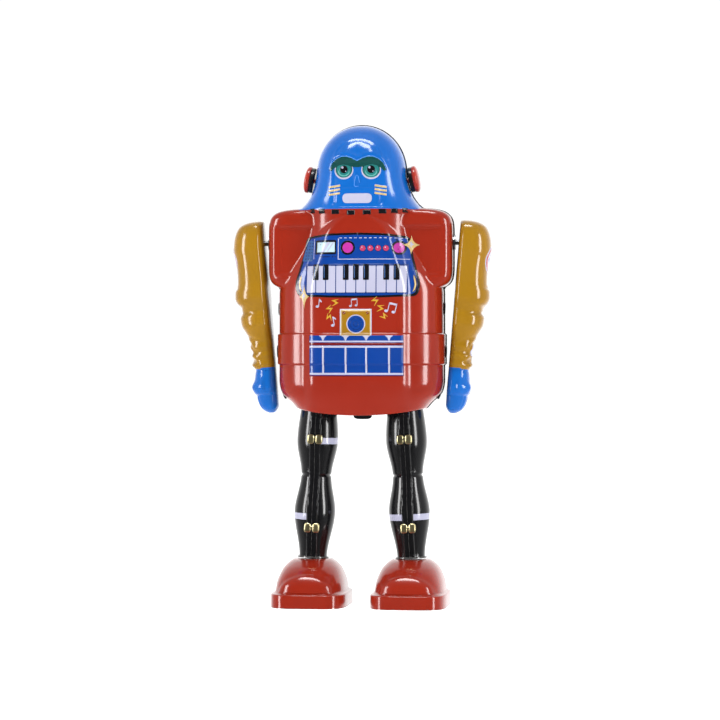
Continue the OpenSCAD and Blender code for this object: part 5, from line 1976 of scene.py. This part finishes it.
@dataclass
class WindingKey:
    """Flat key with two pierced wings on a round sleeve."""

    z: float = 144.0
    start: float = 22.0
    tip: float = 37.0
    width: float = 26.0
    lobe: float = 5.4
    hole: float = 2.8
    sleeve: float = 3.0
    thick: float = 1.2
    rounding: float = 0.25

    def _outline(self) -> list[Point]:
        """Edge of the wings about their middle.

        Returns:
            The outline.
        """
        reach = self.width / 2
        x = reach * np.sin(np.linspace(-np.pi / 2, np.pi / 2, 90))
        centre = reach - self.lobe
        round_part = np.sqrt(np.maximum(self.lobe**2 - (np.abs(x) - centre) ** 2, 0))
        half = np.where(np.abs(x) < centre, blend_max(round_part, np.full_like(x, 3.0), 1.6), round_part)
        upper = list(zip(x.tolist(), half.tolist()))
        return upper + [(a, -b) for a, b in upper[-2:0:-1]]

    def _wings(self, shop: Workshop) -> bpy.types.Mesh:
        """Plate of the wings with rounded edges.

        Args:
            shop: where pieces are made.

        Returns:
            The mesh, in metres.
        """
        curve = bpy.data.curves.new("key_outline", "CURVE")
        curve.dimensions = "2D"
        curve.fill_mode = "BOTH"
        curve.bevel_depth = self.rounding * MM
        curve.bevel_resolution = 4
        curve.extrude = (self.thick / 2 - self.rounding) * MM
        curve.offset = -self.rounding * MM
        middle = self.tip - self.lobe
        centre = self.width / 2 - self.lobe
        holes = [disc(way * centre, 0, self.hole, count=48) for way in (-1, 1)]
        for ring in (self._outline(), *holes):
            spline = curve.splines.new("POLY")
            spline.points.add(len(ring) - 1)
            for point, (x, y) in zip(spline.points, ring):
                point.co = (x * MM, (y + middle + shop.axis_y) * MM, 0, 1)
            spline.use_cyclic_u = True
        holder = bpy.data.objects.new("key_outline", curve)
        show(holder)
        mesh = evaluated_mesh(holder)
        bpy.data.objects.remove(holder)
        mesh.transform(Matrix.Translation((0, 0, self.z * MM)))
        return mesh

    def build(self, shop: Workshop, repeater: Repeater) -> None:
        """Make the wings and the sleeve.

        Args:
            shop: where pieces are made.
            repeater: sets the copies.
        """
        shop.finish_mesh("key_wings", self._wings(shop), [Ink.STEEL], "key_shaft",
                         ["winding_key"])
        r, end = self.sleeve, self.tip - 4.5 - self.start
        tube = lathe([(0, 0), (r - 0.4, 0), (r, 0.3), (r, end - 0.9), (r - 0.25, end - 0.3), (r - 0.9, end),
                      (0, end + 0.1)], 56)
        spot = [Spot((0, self.start, self.z), (-90, 0, 0))]
        repeater.run(shop, "key_sleeve", tube, spot, Ink.STEEL, "key_shaft", ["winding_key"])


@dataclass
class SeamTabs:
    """Black tabs of the back half folded over the seam at the torso's sides."""

    rows: tuple[tuple[float, float, float], ...] = ((142.0, 39.9, 0.0), (121.5, 40.6, 0.0),
                                                    (101.5, 37.9, 22.0))

    def build(self, shop: Workshop, repeater: Repeater) -> None:
        """Fold the tabs over.

        Args:
            shop: where pieces are made.
            repeater: sets the copies.
        """
        points, faces = domed_lobe(1.5, 3.0, 0.35)
        spots = [Spot((side.value * x, -0.9, z), (lean, 0, 90 * side.value)) for side in Side for z, x,
                 lean in self.rows]
        repeater.run(shop, "seam_tabs", (points, faces), spots, Ink.BLACK, "body",
                     ["back_shell"], 0.05, 11)
        strap = [Spot((2.2, -15.5, 91.3))]
        repeater.run(shop, "bottom_strap", domed_lobe(4.4, 2.0, 0.25), strap, Ink.BLACK, "body",
                     ["back_shell"])


@dataclass
class LegClips:
    """Brass pads that pinch the leg halves, in pairs beside the strip, front and back."""

    shares: tuple[float, ...] = (0.18, 0.7)
    half_x: float = 1.75
    half_z: float = 2.3
    height: float = 0.8
    apart: float = 1.95

    def build(self, shop: Workshop, repeater: Repeater, leg: Leg) -> None:
        """Set the clips of one leg.

        Args:
            shop: where pieces are made.
            repeater: sets the copies.
            leg: the leg that wears them.
        """
        master = domed_lobe(self.half_x, self.half_z, self.height, 40, 12)
        tie = domed_lobe(self.apart, 0.9, 0.62)
        spots, ties = [], []
        way = leg.side.value
        for share in self.shares:
            z = mix(leg.ankle_z, leg.hip_z, share)
            reach = float(leg.radius(np.array([z]))[0]) + 0.42
            for turn, face in ((0, 1), (180, -1)):
                for x, rows in ((-self.apart, spots), (self.apart, spots), (0.0, ties)):
                    p = leg.place(np.array([x, -face * reach, z]))
                    place = (way * float(p[0]), float(p[1]), float(p[2]))
                    rows.append(Spot(place, (0, -way * leg.splay, turn)))
        body = f"{leg.side.word}_leg"
        repeater.run(shop, f"{body}_clip_pads", master, spots, Ink.CLIP, body, [f"{body}_clips"],
                     0.03, 7)
        repeater.run(shop, f"{body}_clip_ties", tie, ties, Ink.CLIP, body, [f"{body}_clips"], 0.0, 3)


# whole model


@dataclass(frozen=True)
class SoftBox:
    """One rectangular lamp that faces the robot's middle, in metres and watts."""

    name: str
    place: tuple[float, float, float]
    size: tuple[float, float]
    power: float
    glossy: bool = True

    def build(self) -> None:
        """Hang the lamp."""
        light = bpy.data.lights.new(self.name, "AREA")
        light.shape = "RECTANGLE"
        light.size, light.size_y = self.size
        light.energy = self.power
        lamp = bpy.data.objects.new(self.name, light)
        show(lamp)
        lamp.location = self.place
        lamp.visible_glossy = self.glossy
        aim = Vector((0, 0, 0.12)) - Vector(self.place)
        lamp.rotation_euler = aim.to_track_quat("-Z", "Y").to_euler()


@dataclass
class Studio:
    """Pale floor, soft lights and the camera."""

    distance: float = 1.2
    azimuth: float = 7.0
    eye: float = 0.1174
    aside: float = -0.0010
    frame: float = 0.3465
    sensor: float = 36.0
    floor_half: float = 6.0
    floor_glow: float = 0.74
    backdrop: float = 1.05
    boxes: tuple[SoftBox, ...] = (
        SoftBox("left_box", (-0.95, -0.62, 0.30), (0.24, 0.9), 9.0),
        SoftBox("right_box", (1.0, -0.56, 0.30), (0.24, 0.9), 9.0),
        SoftBox("top_box", (0.0, -0.30, 1.1), (0.55, 0.22), 6.5),
        SoftBox("fill", (0.1, -1.7, 0.5), (1.0, 1.0), 1.9, glossy=False))

    def _floor(self) -> None:
        """Lay the pale floor, which glows a little and is left out of reflections."""
        half = self.floor_half
        mesh = bpy.data.meshes.new("floor")
        mesh.from_pydata([(x, y, 0) for x, y in rect(-half, -half, half, half)], [], [(0, 1, 2, 3)])
        floor = bpy.data.objects.new("floor", mesh)
        show(floor)
        material, kit, shader = bare_material("pale_floor")
        place = kit.add("ShaderNodeTexCoord")
        noise = kit.add("ShaderNodeTexNoise", {"Vector": place.outputs["Object"], "Scale": 3.0})
        tone = kit.mix_colour(noise.outputs["Fac"], rgba((0.90, 0.90, 0.90)), rgba((0.93, 0.93, 0.93)))
        kit.tree.links.new(tone, shader.inputs["Base Color"])
        shader.inputs["Roughness"].default_value = 0.9
        shader.inputs["Specular IOR Level"].default_value = 0.1
        shader.inputs["Emission Color"].default_value = WHITE_LIGHT
        shader.inputs["Emission Strength"].default_value = self.floor_glow
        mesh.materials.append(material)
        floor.visible_glossy = False

    def _camera(self, axis_y: float) -> None:
        """Stand the camera level with the robot's middle.

        Args:
            axis_y: the body axis's place along Y, in metres.
        """
        turn = math.radians(self.azimuth)
        target = Vector((self.aside, axis_y, self.eye))
        data = bpy.data.cameras.new("camera")
        camera = bpy.data.objects.new("camera", data)
        show(camera)
        camera.location = target + Vector((math.sin(turn), -math.cos(turn), 0)) * self.distance
        camera.rotation_euler = (target - camera.location).to_track_quat("-Z", "Y").to_euler()
        data.sensor_width = self.sensor
        data.lens = self.sensor / (self.frame / self.distance)
        data.clip_start = 0.01
        bpy.context.scene.camera = camera

    def _room(self) -> None:
        """Light the room softly, brighter behind the robot, with a white backdrop."""
        world = bpy.data.worlds.new("studio")
        bpy.context.scene.world = world
        world.use_nodes = True
        kit = NodeTools(world.node_tree)
        back = world.node_tree.nodes["Background"]
        path = kit.add("ShaderNodeLightPath")
        way = kit.add("ShaderNodeSeparateXYZ", {"Vector": kit.add("ShaderNodeTexCoord").outputs["Generated"]})
        room = kit.remap(way.outputs["Y"], -0.85, 0.1, 0.05, 0.50)
        behind = kit.remap(way.outputs["Y"], 0.25, 0.9, 0.0, 0.9)
        seen = path.outputs["Is Camera Ray"]
        values = {MIX_SHARE: seen, MIX_NUMBERS[0]: kit.calc("ADD", room, behind),
                  MIX_NUMBERS[1]: self.backdrop}
        level = kit.add("ShaderNodeMix", values, data_type="FLOAT")
        back.inputs["Color"].default_value = WHITE_LIGHT
        kit.tree.links.new(level.outputs[0], back.inputs["Strength"])

    def build(self, axis_y: float) -> None:
        """Set the stage.

        Args:
            axis_y: the body axis's place along Y, in metres.
        """
        self._floor()
        self._camera(axis_y)
        self._room()
        for box in self.boxes:
            box.build()
        bpy.context.scene.view_settings.view_transform = "Standard"


def dress_frame(shop: Workshop, frame: dict) -> None:
    """Give every CAD node that stays in view its finish.

    Args:
        shop: where the finishes are.
    """
    by_slot = {"plated_steel": Ink.STEEL, "shaft_steel": Ink.ROD, "spring_steel": Ink.SPRING,
               "brass": Ink.BRASS, "red_cap": Ink.EAR_RED, "black_ring": Ink.EAR_BLACK, "red_tin": Ink.RED,
               "black_tin": Ink.BLACK, "yellow_tin": Ink.YELLOW, "blue_tin": Ink.BLUE}
    for part in frame["record"]["subparts"]:
        shop.dress(frame, part["node"], by_slot[part["material_slot"]])


def main() -> None:
    """Build the robot, its prints and the stage."""
    logging.basicConfig(level=logging.INFO, format="%(message)s")
    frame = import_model()
    low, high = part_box("hip_axle")
    axis_y = (low[1] + high[1]) / 2
    Studio().build(axis_y)
    shop = Workshop(Palette(), axis_y / MM)
    form = BodyForm()
    BodyShells(form).build(shop)
    ChestPrint().build(shop, form)
    FacePrint().build(shop, form)
    repeater = Repeater()
    Ears().build(shop, repeater)
    SeamTabs().build(shop, repeater)
    WindingKey().build(shop, repeater)
    for side in Side:
        arm = Arm(side)
        arm.build(shop)
        arm.marks(shop)
        leg = Leg(side)
        leg.build(shop)
        LegClips().build(shop, repeater, leg)
        Foot(side).build(shop)
    dress_frame(shop, frame)


if __name__ == "__main__":
    main()
